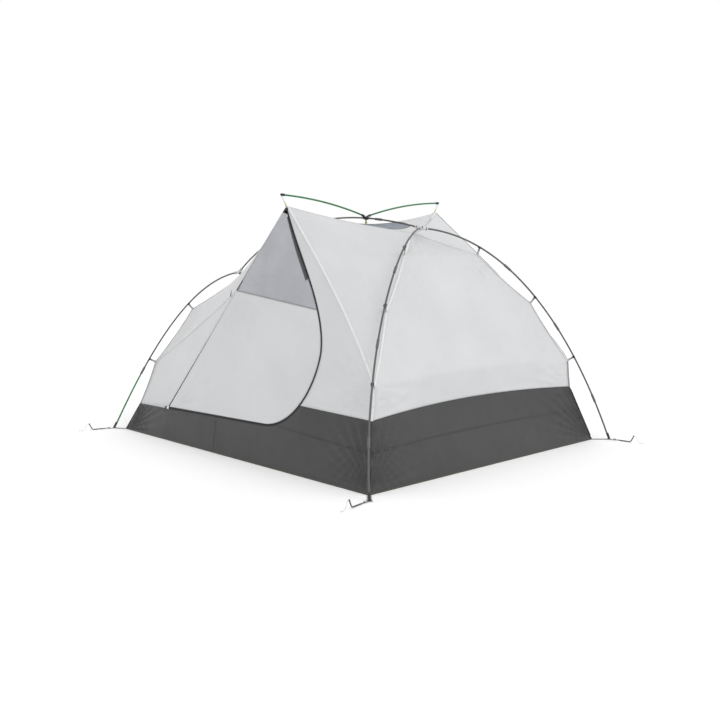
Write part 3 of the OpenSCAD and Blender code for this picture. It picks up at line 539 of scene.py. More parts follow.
for where, (foot, heading) in STAKES.items():
    body = f"stake_{where}"
    way = ground_way(heading)
    route = pull_path(foot, heading)
    cord = Shape()
    cord.tube(route, CORD_R, sides=10)
    cord = cord.piece(f"pull_cord_{where}", CORD, body, [f"pull_{where}"], "cord")
    knot = Shape()
    turn = np.linspace(0, 2 * np.pi, KNOT_STEPS, endpoint=False)
    curl = np.stack([np.sin(turn) + 2 * np.sin(2 * turn), np.cos(turn) - 2 * np.cos(2 * turn),
        -np.sin(3 * turn)], 1)
    end = route[-1] - 0.0022 * way + vec(0, 0, 0.0008)
    lay = curl[:, :1] * way + curl[:, 1:2] * np.cross(UP, way) + curl[:, 2:] * vec(0, 0, 0.75)
    knot.tube(np.vstack([lay, lay[:1]]) * KNOT_R + end, KNOT_R, sides=8)
    knot = knot.piece(f"pull_knot_{where}", CORD, body, slot="cord")
    tail, bend, head = stake_points(foot, heading)
    wire = Shape()
    line = rounded([tail, bend, head], BEND_R)
    radii = np.full(len(line), STAKE_R)
    radii[0], radii[1] = STAKE_R * 0.35, STAKE_R
    wire.tube(line, radii, sides=16)
    cap_way = unit(head - bend)
    wire.turned(head - 0.004 * cap_way, cap_way, [
        (0, STAKE_R * 1.02), (0.0006, STAKE_R * 1.3), (0.004, STAKE_R * 1.32),
        (0.0062, STAKE_R * 1.1), (0.0072, STAKE_R * 0.5),
    ])
    wire.piece(f"stake_wire_{where}", STAKE_METAL, body, [f"stake_{where}"], "stake_metal")


# --- poles, ferrules, feet
def way_at(c, t, s=REAR):
    return unit(side(bez(c, t + 0.004) - bez(c, t - 0.004), s))


POLE_START, POLE_FOOT = 0.014, 0.012


def start_share(c):
    return POLE_START / (3 * np.linalg.norm(c[1] - c[0]))


def end_share(c, inset):
    return 1 - inset / (3 * np.linalg.norm(c[3] - c[2]))


def foot_share(c):
    return end_share(c, POLE_FOOT)


POLE_RINGS, POLE_SIDES = 72, 16


def pole(name, c, a, b, s, mat, nodes, slot, rings=POLE_RINGS):
    """A pole tube with a slight roll at each cut end."""
    shape = Shape()
    path = side(bez(c, np.linspace(a, b, rings)), s)
    radii = np.full(rings, POLE_R)
    radii[[0, -1]] = POLE_R * 0.86
    shape.tube(path, radii, POLE_SIDES)
    shape.piece(name, mat, "tent", nodes, slot)


TIP_GAP = 0.002
for s, where in SIDES:
    pole(f"pole_leg_{where}_high", LEG_HIGH, start_share(LEG_HIGH), foot_share(LEG_HIGH), s,
         POLE_GREY, [f"leg_{where}_high"], "pole_grey")
    pole(f"pole_leg_{where}_low", LEG_LOW, start_share(LEG_LOW), COLOUR_CHANGE - TIP_GAP, s,
         POLE_GREY, [f"leg_{where}_low"], "pole_grey")
    pole(f"pole_tip_{where}_low", LEG_LOW, COLOUR_CHANGE + TIP_GAP, foot_share(LEG_LOW), s,
         POLE_GREEN, [f"leg_tip_{where}_low"], "pole_green", rings=24)
    pole(f"pole_ridge_{where}", RIDGE_POLE, 0.045, 0.985, s,
         POLE_GREEN, [f"ridge_pole_{where}"], "pole_green", rings=40)
pole("pole_spine", SPINE, start_share(SPINE), end_share(SPINE, POLE_START), REAR,
     POLE_GREY, ["spine_pole"], "pole_grey", rings=110)

FERRULE_LEN, FERRULE_R = 0.046, POLE_R + ROOM + 0.001
ferrules = Shape()


def ferrule(c, t, s):
    p, w = side(bez(c, t), s), way_at(c, t, s)
    half, r, wall = FERRULE_LEN / 2, FERRULE_R, 0.001
    end = [
        (0, BORE_R), (0.0002, r + 0.0004), (0.0012, r + wall), (0.0030, r + wall),
        (0.0038, r + 0.0005), (0.0055, r + 0.0005), (0.0062, r + wall * 0.8),
        (half - 0.001, r + wall * 0.8),
    ]
    profile = mirrored(end, FERRULE_LEN)
    ferrules.turned(p - half * w, w,
        profile[:len(end)] + [(half, r + wall * 0.55)] + profile[len(end):])


for s, _ in SIDES:
    for t in (0.36, 0.62, 0.87):
        ferrule(LEG_HIGH, t, s)
    ferrule(LEG_LOW, COLOUR_CHANGE, s)
for t in (0.25, 0.8):
    ferrule(SPINE, t, FRONT)
ferrules.piece("pole_joint_sleeves", FERRULE, "tent", ["pole_ferrules"], "ferrule")

pole_tips = Shape()
for s, _ in SIDES:
    for c in (LEG_HIGH, LEG_LOW):
        p = side(c[3], s) + vec(0, 0, FOOT_R)
        w = unit(side(bez(c, foot_share(c) - 0.04), s) - p)
        r = SLEEVE_R - 0.001
        pole_tips.turned(p - 0.0068 * w, w, [
            (0, 0.0016), (0.0012, 0.0042), (0.0035, 0.0062), (0.0068, 0.0069), (0.0100, 0.0064),
            (0.0125, 0.0058), (0.0140, 0.0060), (0.0155, r),
            *groove(0.0190, 0.0220, r, 0.0007, 0.0008), *groove(0.0256, 0.0286, r, 0.0007, 0.0008),
            (0.0345, r), (0.0360, r - 0.0006), (0.0366, BORE_R),
        ])
pole_tips.piece("pole_foot_tips", BLACK_PLASTIC, "tent", ["pole_feet"], "black_plastic")


# --- hubs
def leg_start(c, s):
    return unit(side(bez(c, 0.05) - c[0], s))


SOCKET = 0.036


def hub(name, node, centre, ways, hook_way):
    """Pale joint with three sockets, a dark collar on each and a dark clip for the canopy."""
    body = Shape()
    for w in ways:
        body.turned(centre, w, [
            (0.001, 0.0105), (0.0060, 0.0102), (0.0095, SLEEVE_R + 0.0006),
            (0.0130, SLEEVE_R - 0.0002), (0.0150, SLEEVE_R - 0.0002), (0.0160, SLEEVE_R + 0.0005),
            (0.0185, SLEEVE_R + 0.0005), (0.0195, SLEEVE_R - 0.0004),
            (SOCKET - 0.006, SLEEVE_R - 0.0009), (SOCKET - 0.005, SLEEVE_R),
            (SOCKET - 0.001, SLEEVE_R), (SOCKET, SLEEVE_R - 0.0008), (SOCKET + 0.0001, BORE_R),
        ], sides=28)
    body.ball(centre, 0.0108, rows=16, sides=28)
    body.piece(name, WHITE_PLASTIC, "tent", [node], "hub_plastic")
    dark = Shape()
    for w in ways:
        dark.turned(centre, w, [
            (SOCKET - 0.0098, SLEEVE_R - 0.0008), (SOCKET - 0.0094, SLEEVE_R + 0.0007),
            (SOCKET - 0.0070, SLEEVE_R + 0.0007), (SOCKET - 0.0066, SLEEVE_R - 0.0008),
        ], sides=28)
    down = unit(hook_way)
    dark.turned(centre + 0.0085 * down, down, [
        (0, 0.0078), (0.0010, 0.0084), (0.0028, 0.0084), (0.0034, 0.0072), (0.0040, 0.0046),
        (0.0062, 0.0042), (0.0068, 0.0020),
    ], sides=24)
    dark.turned(centre - 0.0095 * down, -down,
        [(0, 0.0066), (0.0014, 0.0062), (0.0022, 0.0040), (0.0024, 0.0010)])
    dark.piece(name + "_collars", BLACK_PLASTIC, "tent", slot="black_plastic")


TAB_W, TAB_T = 0.012, 0.0016
apex_tab_high = APEX_HIGH + vec(0.006, 0, 0.0015)
apex_tab_low = APEX_LOW + vec(-0.006, 0, 0.0015)
hub("hub_joint_high", "hub_high", HUB_HIGH,
    [leg_start(LEG_HIGH, FRONT), leg_start(LEG_HIGH, REAR), leg_start(SPINE[::-1], REAR)],
    apex_tab_high - HUB_HIGH)
hub("hub_joint_low", "hub_low", HUB_LOW,
    [leg_start(LEG_LOW, FRONT), leg_start(LEG_LOW, REAR), leg_start(SPINE, REAR)],
    apex_tab_low - HUB_LOW)


# --- canopy clips and their webbing
def loop_tab(shape, p, q, across, w_top, w_low, thick):
    """A folded webbing loop from p to q, narrow at p, with a bar of stitching near q."""
    length = np.linalg.norm(q - p)
    way = unit(q - p)
    out = unit(np.cross(across, way))
    steps = steps_to_one(9)
    belly = 0.0006 * np.sin(np.pi * steps)
    path = p + steps[:, None] * length * way + belly[:, None] * out
    width = w_top + (w_low - w_top) * steps**1.5
    shape.ribbon(path, out, width, thick / 2)
    shape.ribbon(p + steps[:, None] * length * way - belly[:, None] * out, -out, width, thick / 2)
    for share in (0.72, 0.80, 0.88):
        at_bar = p + share * length * way
        bar = [at_bar - across * w_low * 0.36, at_bar, at_bar + across * w_low * 0.36]
        for face in (out, -out):
            shape.ribbon(bar, face, 0.0009, 0.0003, lift=thick / 2)


clips, tabs = Shape(), Shape()
CLIP_LEN, CLIP_ARM_END, HAIR = 0.014, 0.018, 0.0005
# Where the clip's outer face steps in, as a share of its length, and by how much
CLIP_RIBS = [(-0.5, 0.94), (-0.46, 1.0), (-0.15, 1.0), (-0.1, 0.96)]


def clip(c, hang, t, s):
    """A snap clip: a C round the pole, a waisted neck and a hook that the webbing loops through."""
    p, w = side(bez(c, t), s), way_at(c, t, s)
    way = unit(hang - p)
    way = unit(way - w * (way @ w))
    cross_way = np.cross(w, way)
    turn = np.radians(np.linspace(205, -25, 28))
    outer = [np.cos(a) * cross_way + np.sin(a) * -way for a in turn]
    inner = outer[::-1]
    loop_r = [SLEEVE_R] * len(outer) + [BORE_R] * len(inner)
    # The C opens away from the canopy, so the arc is turned to close on the canopy side
    loop = [-o * r for o, r in zip(outer + inner, loop_r)]
    rows = []
    for d, shrink in CLIP_RIBS + [(-d, shrink) for d, shrink in CLIP_RIBS[::-1]]:
        mid = p + d * CLIP_LEN * w
        rows.append([mid + q * shrink for q in loop[:len(outer)]] + [mid + q
            for q in loop[len(outer):]])
    first = clips.count
    clips.grid(np.array(rows), closed=True)
    m = len(loop)
    for row, order in ((0, 1), (len(rows) - 1, -1)):
        for k in range(len(outer) - 1):
            a, b = first + row * m + k, first + row * m + k + 1
            c2, d2 = first + row * m + m - 2 - k, first + row * m + m - 1 - k
            clips.faces.append((a, b, c2, d2)[::order])
    true_way = unit(hang - p)
    neck = p + (SLEEVE_R - 0.0012) * true_way
    clips.tube(
        [neck + d * true_way for d in (0, 0.002, 0.005, 0.008)]
        + [p + (CLIP_ARM_END - 0.0012) * true_way, p + CLIP_ARM_END * true_way],
        [0.0040, 0.0036, 0.0026, 0.0029, 0.0035, 0.0024], sides=14,
    )
    eye = p + (CLIP_ARM_END - 0.003) * true_way
    bar = [eye + d * w for d in (-0.0072, -0.0066, 0.0066, 0.0072)]
    clips.tube(bar, [0.0009, 0.0017, 0.0017, 0.0009], sides=10)
    loop_tab(tabs, p + (CLIP_ARM_END + HAIR) * true_way, p + (CLIP_REACH - HAIR) * true_way, w,
        TAB_W * 0.8, TAB_W * 1.15, TAB_T)


for s, _ in SIDES:
    for t in CLIPS_HIGH:
        clip(LEG_HIGH, HANG_HIGH, t, s)
    for t in CLIPS_LOW:
        clip(LEG_LOW, HANG_LOW, t, s)
clips.piece("canopy_snap_clips", BLACK_PLASTIC, "tent", ["canopy_clips"], "black_plastic")
tabs.piece("clip_webbing_loops", WEBBING, "tent", ["clip_tabs"], "webbing")

hub_straps = Shape()
for centre, apex in ((HUB_HIGH, apex_tab_high), (HUB_LOW, apex_tab_low)):
    w = unit(apex - centre)
    loop_tab(hub_straps, centre + 0.0145 * w, apex, vec(0, 1, 0), TAB_W * 0.9, TAB_W * 1.5, TAB_T)
hub_straps.piece("hub_webbing_loops", PALE_WEBBING, "tent", ["hub_tabs"], "webbing")

# --- ridge hub, caps, loops and toggle
RIDGE_FIRST, RIDGE_LAST, ARM_LEN, HUB_HALF = 0.045, 0.985, 0.010, 0.017
ridge_hub, white_bits = Shape(), Shape()
ridge_axis, ridge_way = bez(SPINE, RIDGE_SHARE), way_at(SPINE, RIDGE_SHARE)
R = SLEEVE_R + 0.0005
ridge_hub.turned(ridge_axis - HUB_HALF * ridge_way, ridge_way, mirrored([
    (0, BORE_R), (0.0002, R - 0.0008), (0.0010, R), *groove(0.0040, 0.0072, R, 0.0007, 0.0008),
], 2 * HUB_HALF), sides=28)
for s, _ in SIDES:
    arm_way = way_at(RIDGE_POLE, RIDGE_FIRST, s)
    arm_start = ridge_axis + vec(0, 0, 0.001)
    arm_end = side(bez(RIDGE_POLE, RIDGE_FIRST), s) + ARM_LEN * arm_way
    arm = arm_end - arm_start
    length = np.linalg.norm(arm)
    r = SLEEVE_R - 0.0005
    ridge_hub.turned(arm_start, arm, [
        (0, r * 0.9), (0.006, r + 0.0008), (0.012, r), (length * 0.45, r - 0.0006),
        (length * 0.52, r + 0.0004), (length * 0.58, r + 0.0004), (length * 0.62, r - 0.0006),
        (length - 0.006, r - 0.0006), (length - 0.005, r), (length - 0.0008, r),
        (length, r - 0.0007), (length + 0.0001, BORE_R),
    ], sides=24)
    for x in (-1, 1):
        pin = arm_start + arm * 0.45 + vec(x * (r + 0.0003), 0, 0)
        white_bits.turned(pin, vec(x, 0, 0),
            [(0, 0.0026), (0.0007, 0.0026), (0.0011, 0.0020), (0.0012, 0.0006)])
under = ridge_axis - vec(0, 0, SLEEVE_R - 0.001)
ridge_hub.turned(under, vec(0, 0, -1), [
    (0, 0.0058), (0.0020, 0.0052), (0.0030, 0.0040), (0.0050, 0.0036), (0.0070, 0.0040),
    (0.0080, 0.0045), (0.0108, 0.0045), (0.0115, 0.0034),
])
ridge_hub.piece("ridge_joint", BLACK_PLASTIC, "tent", ["ridge_hub"], "black_plastic")
white_bits.piece("ridge_joint_pins", WHITE_PLASTIC, "tent", slot="hub_plastic")

caps, hooks, bands = Shape(), Shape(), Shape()
CAP_R = POLE_R + 0.002
for s, _ in SIDES:
    w = way_at(RIDGE_POLE, RIDGE_LAST, s)
    p = side(bez(RIDGE_POLE, RIDGE_LAST), s)
    r = CAP_R + ROOM
    caps.turned(p - 0.016 * w, w, [
        (0, BORE_R), (0.0002, r - 0.0008), (0.0012, r), *groove(0.0050, 0.0076, r, 0.0006, 0.0006),
        *groove(0.0120, 0.0146, r, 0.0006, 0.0006), (0.0200, r), (0.0216, r - 0.0010),
        (0.0222, r - 0.0028),
    ], sides=24)
    end = p + 0.006 * w
    caps.turned(end + vec(-0.002, 0, 0), vec(1, 0, 0),
        [(0, 0.0034), (0.0004, 0.0040), (0.0036, 0.0040), (0.0040, 0.0034)])
    eye = p - vec(0, 0, CAP_R + 0.004)
    low = side(PEAK, s) + vec(0, 0, 0.003)
    up_way = unit(eye - low)
    # lime grip at the bottom, two elastic bands above it, a dark hook at the cloth
    hooks.turned(low + 0.003 * up_way, up_way, [
        (0, 0.0012), (0.0006, 0.0026), *groove(0.0060, 0.0084, 0.0030, 0.0006, 0.0004),
        *groove(0.0128, 0.0152, 0.0030, 0.0006, 0.0004), (0.0184, 0.0026), (0.0190, 0.0010),
    ])
    for k in (-1, 1):
        a, b = low + 0.020 * up_way + vec(k * 0.0016, 0, 0), eye + vec(k * 0.003, 0, 0)
        steps = steps_to_one(10)
        slack = np.sin(np.pi * steps)[:, None] * vec(k * 0.0014, 0, 0)
        bands.ribbon(mix(a, b, steps) + slack, np.cross(vec(1, 0, 0), up_way), 0.0022, 0.0011)
    saddle = np.radians(np.linspace(0, 180, 12))
    top_loop = [eye + vec(0.003 * math.cos(a), 0, 0.0) + UP * 0.0045 * math.sin(a) for a in saddle]
    bands.tube(top_loop, 0.0008, sides=8)
    hook_turn = np.radians(np.linspace(-40, 230, 18))
    hook_at = low - vec(0, 0, 0.001)
    outwards = vec(0, s, 0)
    hooks_line = [hook_at + 0.0042 * (math.cos(a) * vec(1, 0,
        0) + math.sin(a) * up_way) + 0.002 * outwards for a in hook_turn]
    caps.tube(hooks_line, 0.0012, sides=8)
caps.piece("ridge_end_caps", BLACK_PLASTIC, "tent", ["ridge_caps"], "black_plastic")
hooks.piece("tip_hook_grips", LIME_PLASTIC, "tent", ["tip_hooks"], "lime_plastic")
bands.piece("tip_elastic_bands", PALE_WEBBING, "tent", slot="webbing")

toggle = Shape()
toggle_low = ROOF_LOW + vec(0, 0, 0.002)
toggle_len = toggle_top - toggle_low[2]
toggle.turned(toggle_low, UP, [
    (0, 0.0026), (0.0008, 0.0038), (0.0030, 0.0040), (0.0036, 0.0030), (toggle_len * 0.5, 0.0028),
    (toggle_len - 0.0036, 0.0030), (toggle_len - 0.0030, 0.0038), (toggle_len - 0.0006, 0.0040),
    (toggle_len, 0.0032),
])
bar_at = toggle_low + vec(0, -0.009, 0.0060)
toggle.turned(bar_at, vec(0, 1, 0), [
    (0, 0.0018), (0.0008, 0.0028), (0.0030, 0.0030), (0.0040, 0.0023), (0.0090, 0.0021),
    (0.0140, 0.0023), (0.0150, 0.0030), (0.0172, 0.0028), (0.0180, 0.0018),
])
toggle.piece("ridge_lime_toggle", LIME_PLASTIC, "tent", ["ridge_toggle"], "lime_plastic")

# --- canopy lines
CANOPY_THICK, TUB_THICK, NET_THICK = 0.0007, 0.0008, 0.0004
EDGE_SAG, EDGE_PULL = 0.035, vec(0, -0.4, -0.4)


def on_leg(c, hang, t):
    p = bez(c, t)
    return p + CLIP_REACH * unit(hang - p)


EDGE_HIGH = [APEX_HIGH + vec(0, APEX_HALF, 0)] + [on_leg(LEG_HIGH, HANG_HIGH, t)
    for t in CLIPS_HIGH] + [TUB_HIGH]
EDGE_LOW = [APEX_LOW + vec(0, APEX_HALF, 0)] + [on_leg(LEG_LOW, HANG_LOW, t)
    for t in CLIPS_LOW] + [TUB_LOW]
ROWS_HIGH, ROWS_LOW = 16, 16


def sagged(points, rows):
    """The canopy's edge between the points it hangs from, rows steps to each span."""
    out = []
    for a, b in zip(points[:-1], points[1:]):
        w = np.arange(rows) / rows
        sag = 4 * w * (1 - w) * EDGE_SAG * np.linalg.norm(b - a)
        out += list(mix(a, b, w) + sag[:, None] * EDGE_PULL)
    return np.array(out + [points[-1]])


def arc3(a, m, b, u):
    u = np.asarray(u, float)
    return mix(a, b, u) + (4 * u * (1 - u))[:, None] * (m - (a + b) / 2)


def floor_y(x):
    return CORNER_LOW[1] + (CORNER_HIGH[1] - CORNER_LOW[1]) * (x - CORNER_LOW[0]) / (CORNER_HIGH[0]
        - CORNER_LOW[0])


LEAN = (floor_y(PEAK[0]) - PEAK[1]) / PEAK[2]


def on_wall(q):
    q = np.asarray(q, float)
    x, z = q[..., 0], q[..., 1]
    return np.stack([x, floor_y(x) - LEAN * z, z], axis=-1)


run = vec(CORNER_HIGH[0] - CORNER_LOW[0], CORNER_HIGH[1] - CORNER_LOW[1])
WALL_OUT = unit(vec(-run[1], run[0], LEAN * run[0]))


def flat(x, z):
    return vec(x * SX, z * SZ)


ZIP_TOP = [flat(0.158, 1.235), flat(0.310, 1.000), flat(0.570, 0.770), flat(0.585, 0.560)]
ZIP_TURN = [flat(0.585, 0.560), flat(0.580, 0.380), flat(0.450, 0.200), flat(0.250, 0.192)]
ZIP_END, HINGE_END, HINGE_TOP = flat(-0.624, 0.171), flat(-0.636, 0.165), flat(0.136, 1.235)
ZIP_A, ZIP_B = 0.4, 0.7
ZIP_MESH, ZIP_TUB, MESH_SHARE = 0.277, 0.548, 0.382


def zip_line(t):
    if t < ZIP_A:
        return bez(ZIP_TOP, t / ZIP_A)
    if t < ZIP_B:
        return bez(ZIP_TURN, (t - ZIP_A) / (ZIP_B - ZIP_A))
    return mix(ZIP_TURN[3], ZIP_END, (t - ZIP_B) / (1 - ZIP_B))


def zip_at(t, off=0.0):
    """Points on the wall along the zip; positive off lies towards the door."""
    out = []
    for x in np.atleast_1d(t):
        d = unit(zip_line(min(x + 0.004, 1)) - zip_line(max(x - 0.004, 0)))
        out.append(zip_line(x) + off * vec(d[1], -d[0]))
    return on_wall(np.array(out))


def hinge_at(t):
    return on_wall(mix(HINGE_TOP, HINGE_END, t))


ROOF_SAG_LOW, ROOF_SAG_HIGH, SPINE_LIFT, SADDLE = 0.040, 0.012, 0.030, 1.6


def roof_edge(x):
    x = np.atleast_1d(np.asarray(x, float))
    w_low = (x - APEX_LOW[0]) / (PEAK[0] - APEX_LOW[0])
    w_high = (x - PEAK[0]) / (APEX_HIGH[0] - PEAK[0])
    low = mix(EDGE_LOW[0], PEAK, w_low) - (4 * w_low * (1 - w_low) * ROOF_SAG_LOW)[:, None] * UP
    high = mix(PEAK, EDGE_HIGH[0], w_high) - (4 * w_high * (1 - w_high) * ROOF_SAG_HIGH)[:,
        None] * UP
    return np.where((x < PEAK[0])[:, None], low, high)


def roof_mid_z(x):
    if x < RIDGE[0]:
        w = (x - APEX_LOW[0]) / (RIDGE[0] - APEX_LOW[0])
        return APEX_LOW[2] + (ROOF_LOW[2] - APEX_LOW[2]) * w + 4 * w * (1 - w) * SPINE_LIFT
    return ROOF_LOW[2] + (APEX_HIGH[2] - ROOF_LOW[2]) * (x - RIDGE[0]) / (APEX_HIGH[0] - RIDGE[0])


def roof_at(x, w):
    e = roof_edge(x)[0]
    z = roof_mid_z(x)
    return np.stack([np.full(len(w), x), e[1] * w, z + (e[2] - z) * np.abs(w) ** SADDLE], axis=1)


LIGHT_FROM, LIGHT_MID, LIGHT_TO, LIGHT_HALF = 0.150 * SX, 0.172 * SX, 0.362 * SX, 0.245 * SY


def light_y(x):
    if x <= LIGHT_FROM or x >= LIGHT_TO:
        return 0.0
    if x < LIGHT_MID:
        return LIGHT_HALF * math.sin(math.pi / 2 * (x - LIGHT_FROM) / (LIGHT_MID - LIGHT_FROM))
    return LIGHT_HALF * math.sqrt(max(0.0, 1 - ((x - LIGHT_MID) / (LIGHT_TO - LIGHT_MID)) ** 2))


def coons(top, bottom, left, right, u, v):
    """The sheet that fills four edges; rows run top to bottom and columns left to right."""
    u, v = np.asarray(u)[None, :, None], np.asarray(v)[:, None, None]
    return (
        (1 - v) * top + v * bottom + (1 - u) * left[:, None] + u * right[:, None]
        - (1 - u) * (1 - v) * top[0] - u * (1 - v) * top[-1] - (1 - u) * v * bottom[0] - u * v
        * bottom[-1]
    )


def grid_normals(g):
    return unit(np.cross(np.gradient(g, axis=0), np.gradient(g, axis=1)))


def edge_mask(g, cells=3):
    """0 on the rim of a grid and 1 inside it, so that neighbours still meet."""
    n, m = g.shape[:2]
    i = np.minimum(np.arange(n), np.arange(n)[::-1])[:, None]
    j = np.minimum(np.arange(m), np.arange(m)[::-1])[None]
    return smooth_step(np.minimum(i, j) / cells)


def crumpled(g, anchors=(), drift=0.0025, seed=0.0):
    """Cloth under tension: fans of folds out of the points it hangs from, and a slow drift."""
    normal = grid_normals(g)
    middle = unit(normal.reshape(-1, 3).mean(0))
    e1 = unit(np.cross(middle, vec(0.3, 0.2, 1)))
    e2 = np.cross(middle, e1)
    move = np.zeros(g.shape[:2])
    for place, folds, reach, depth in anchors:
        d = g - place
        r = np.linalg.norm(d, axis=-1)
        angle = np.arctan2(d @ e2, d @ e1)
        swell = (r / reach) * np.exp(1 - r / reach)
        move += depth * swell * np.sin(folds * angle + 1.7 * folds + seed)
    if drift:
        slow = np.array([[noise.noise(Vector(p * 5.0) + Vector((seed, 0, 0))) for p in row]
            for row in g])
        quick = np.array([[noise.noise(Vector(p * 14.0) + Vector((0, seed, 3))) for p in row]
            for row in g])
        move += drift * (slow + 0.35 * quick)
    return g + (move * edge_mask(g))[..., None] * normal


# --- canopy: one continuous sheet
ROOF_ROWS = 28
U_END = steps_to_one(2 * ROOF_ROWS + 1)
SEAM = [PEAK + vec(PEAK_HALF, 0, 0), at(0.340, 0.600, 1.085), at(0.740, 0.690, 0.760), EDGE_HIGH[3]]
edge_high = sagged(EDGE_HIGH, ROWS_HIGH)
edge_low = sagged(EDGE_LOW, ROWS_LOW)
GUSSET_HIGH_ROWS = 3 * ROWS_HIGH
seam_line = bez(SEAM, steps_to_one(GUSSET_HIGH_ROWS + 1))
side_seam = np.vstack([seam_line, edge_high[GUSSET_HIGH_ROWS + 1:]])
high_xs = np.unique(np.round(np.concatenate([
    np.linspace(PEAK[0] + PEAK_HALF, LIGHT_MID, 4),
    LIGHT_MID + (LIGHT_TO - LIGHT_MID) * np.sin(np.linspace(0, np.pi / 2, 20)),
    np.linspace(LIGHT_TO, APEX_HIGH[0], 9),
]), 6))
low_xs = np.linspace(APEX_LOW[0], PEAK[0] - PEAK_HALF, 44)
roof_xs = np.concatenate([low_xs, np.linspace(PEAK[0], PEAK[0] + PEAK_HALF, 6)[:-1], high_xs])
roof_shares = steps_to_one(ROOF_ROWS + 1)
roof = np.array([roof_at(x, mix(vec(light_y(x) / roof_edge(x)[0][1]), vec(1.0), roof_shares)[:, 0])
    for x in roof_xs])

TAPE_HALF = 0.006
ZIP_FIRST = 0.006
ZIP_BACK = 0.0048
side_rows = len(side_seam)
zip_edge = zip_at(np.linspace(ZIP_FIRST, ZIP_TUB, side_rows), -ZIP_BACK)
u_side = steps_to_one(25)
side_high = coons(mix(zip_edge[0], side_seam[0], u_side), mix(zip_edge[-1], side_seam[-1], u_side),
                  zip_edge, side_seam, u_side, steps_to_one(side_rows))
gusset_high = coons(
    roof_edge(high_xs), np.repeat(EDGE_HIGH[3][None], len(high_xs), 0), seam_line,
    edge_high[:GUSSET_HIGH_ROWS + 1],
    (high_xs - high_xs[0]) / (high_xs[-1] - high_xs[0]), steps_to_one(GUSSET_HIGH_ROWS + 1))

HINGE_ROWS, FAINT_ROWS = 20, 12
MESH_LEFT = hinge_at(MESH_SHARE)
faint_line = arc3(MESH_LEFT, mix(MESH_LEFT, EDGE_LOW[2], 0.5) + vec(0.012, 0, -0.006), EDGE_LOW[2],
                  steps_to_one(FAINT_ROWS + 1))
hinge_upper = mix(roof_edge(PEAK[0] - PEAK_HALF)[0], MESH_LEFT, steps_to_one(HINGE_ROWS + 1))
low_seam = np.vstack([hinge_upper, faint_line[1:]])
low_u = (low_xs[::-1] - low_xs[-1]) / (low_xs[0] - low_xs[-1])
gusset_low = coons(
    roof_edge(low_xs[::-1]), np.repeat(EDGE_LOW[2][None], len(low_xs), 0), low_seam,
    edge_low[:2 * ROWS_LOW + 1], low_u, steps_to_one(2 * ROWS_LOW + 1))
u_low = steps_to_one(FAINT_ROWS + 1)
hinge_lower = mix(MESH_LEFT, on_wall(HINGE_END), steps_to_one(ROWS_LOW + 1))
side_low = coons(faint_line[::-1], mix(TUB_LOW, on_wall(HINGE_END), u_low), edge_low[2 * ROWS_LOW:],
                 hinge_lower, u_low, steps_to_one(ROWS_LOW + 1))


def end_wall(edge, mid):
    front_edge, rear_edge = side(edge, FRONT), edge
    return coons(mix(front_edge[0], rear_edge[0], U_END),
        arc3(front_edge[-1], mid, rear_edge[-1], U_END),
                 front_edge, rear_edge, U_END, steps_to_one(len(edge)))


wall_high, wall_low = end_wall(edge_high, TUB_MID_HIGH), end_wall(edge_low, TUB_MID_LOW)
high_pins = [(EDGE_HIGH[k], 22, 0.10, 0.0022) for k in (1, 2, 3)] + [(TUB_HIGH, 30, 0.12, 0.0020)]
low_pins = [(EDGE_LOW[k], 22, 0.10, 0.0022) for k in (1, 2)] + [(TUB_LOW, 30, 0.10, 0.0018)]
apex_pins = [(APEX_HIGH, 26, 0.16, 0.0020)]


def pins_on(pins, *sides):
    """The anchors of crumpled(), placed on one side of the tent or on both."""
    return [(side(p, s), f, r, d) for p, f, r, d in pins for s in sides]



canopy = Shape()
wall_high = crumpled(wall_high, pins_on(high_pins, FRONT, REAR) + apex_pins, seed=1.0)
wall_low = crumpled(wall_low, pins_on(low_pins, FRONT, REAR) + [(APEX_LOW, 26, 0.14, 0.0020)],
    seed=2.0)
canopy.grid(wall_high)
canopy.grid(wall_low)
surfaces = {"wall_high": wall_high, "wall_low": wall_low}
peak_pin = [(PEAK, 26, 0.14, 0.0018)]
for s, where in SIDES:
    panels = {
        "roof": (roof, peak_pin, 3.0),
        "side_high": (side_high, peak_pin + high_pins[2:], 4.0),
        "gusset_high": (gusset_high, peak_pin + high_pins[:3], 5.0),
        "gusset_low": (gusset_low, peak_pin + low_pins[:2], 6.0),
        "side_low": (side_low, low_pins[1:], 7.0),
    }
    for name, (g, pins, seed) in panels.items():
        made = crumpled(side(g, s), pins_on(pins, s), seed=seed + 0.3 * s)
        surfaces[f"{name}_{where}"] = made
        canopy.grid(made)
canopy = canopy.piece(
    "canopy", CANOPY, "tent",
    ["roof_front", "roof_rear", "wall_high", "wall_low"]
    + [f"{part}_{where}_{end}" for part in ("side", "gusset") for where in ("front", "rear")
        for end in ("high", "low")],
    "canopy_fabric", thick=CANOPY_THICK, weld=True,
)

# Roof window: net across the opening in the roof
window = Shape()
light_xs = [x for x in roof_xs if LIGHT_FROM <= x <= LIGHT_TO]
window_rows = np.linspace(-1, 1, 17)
net = np.array([roof_at(x, window_rows * light_y(x) / roof_edge(x)[0][1]) for x in light_xs])
window.grid(crumpled(net, drift=0.0015, seed=9.0))
window = window.piece("roof_window_net", LIGHT_NET, "tent", ["skylight"], "mesh", thick=NET_THICK,
    weld=True)

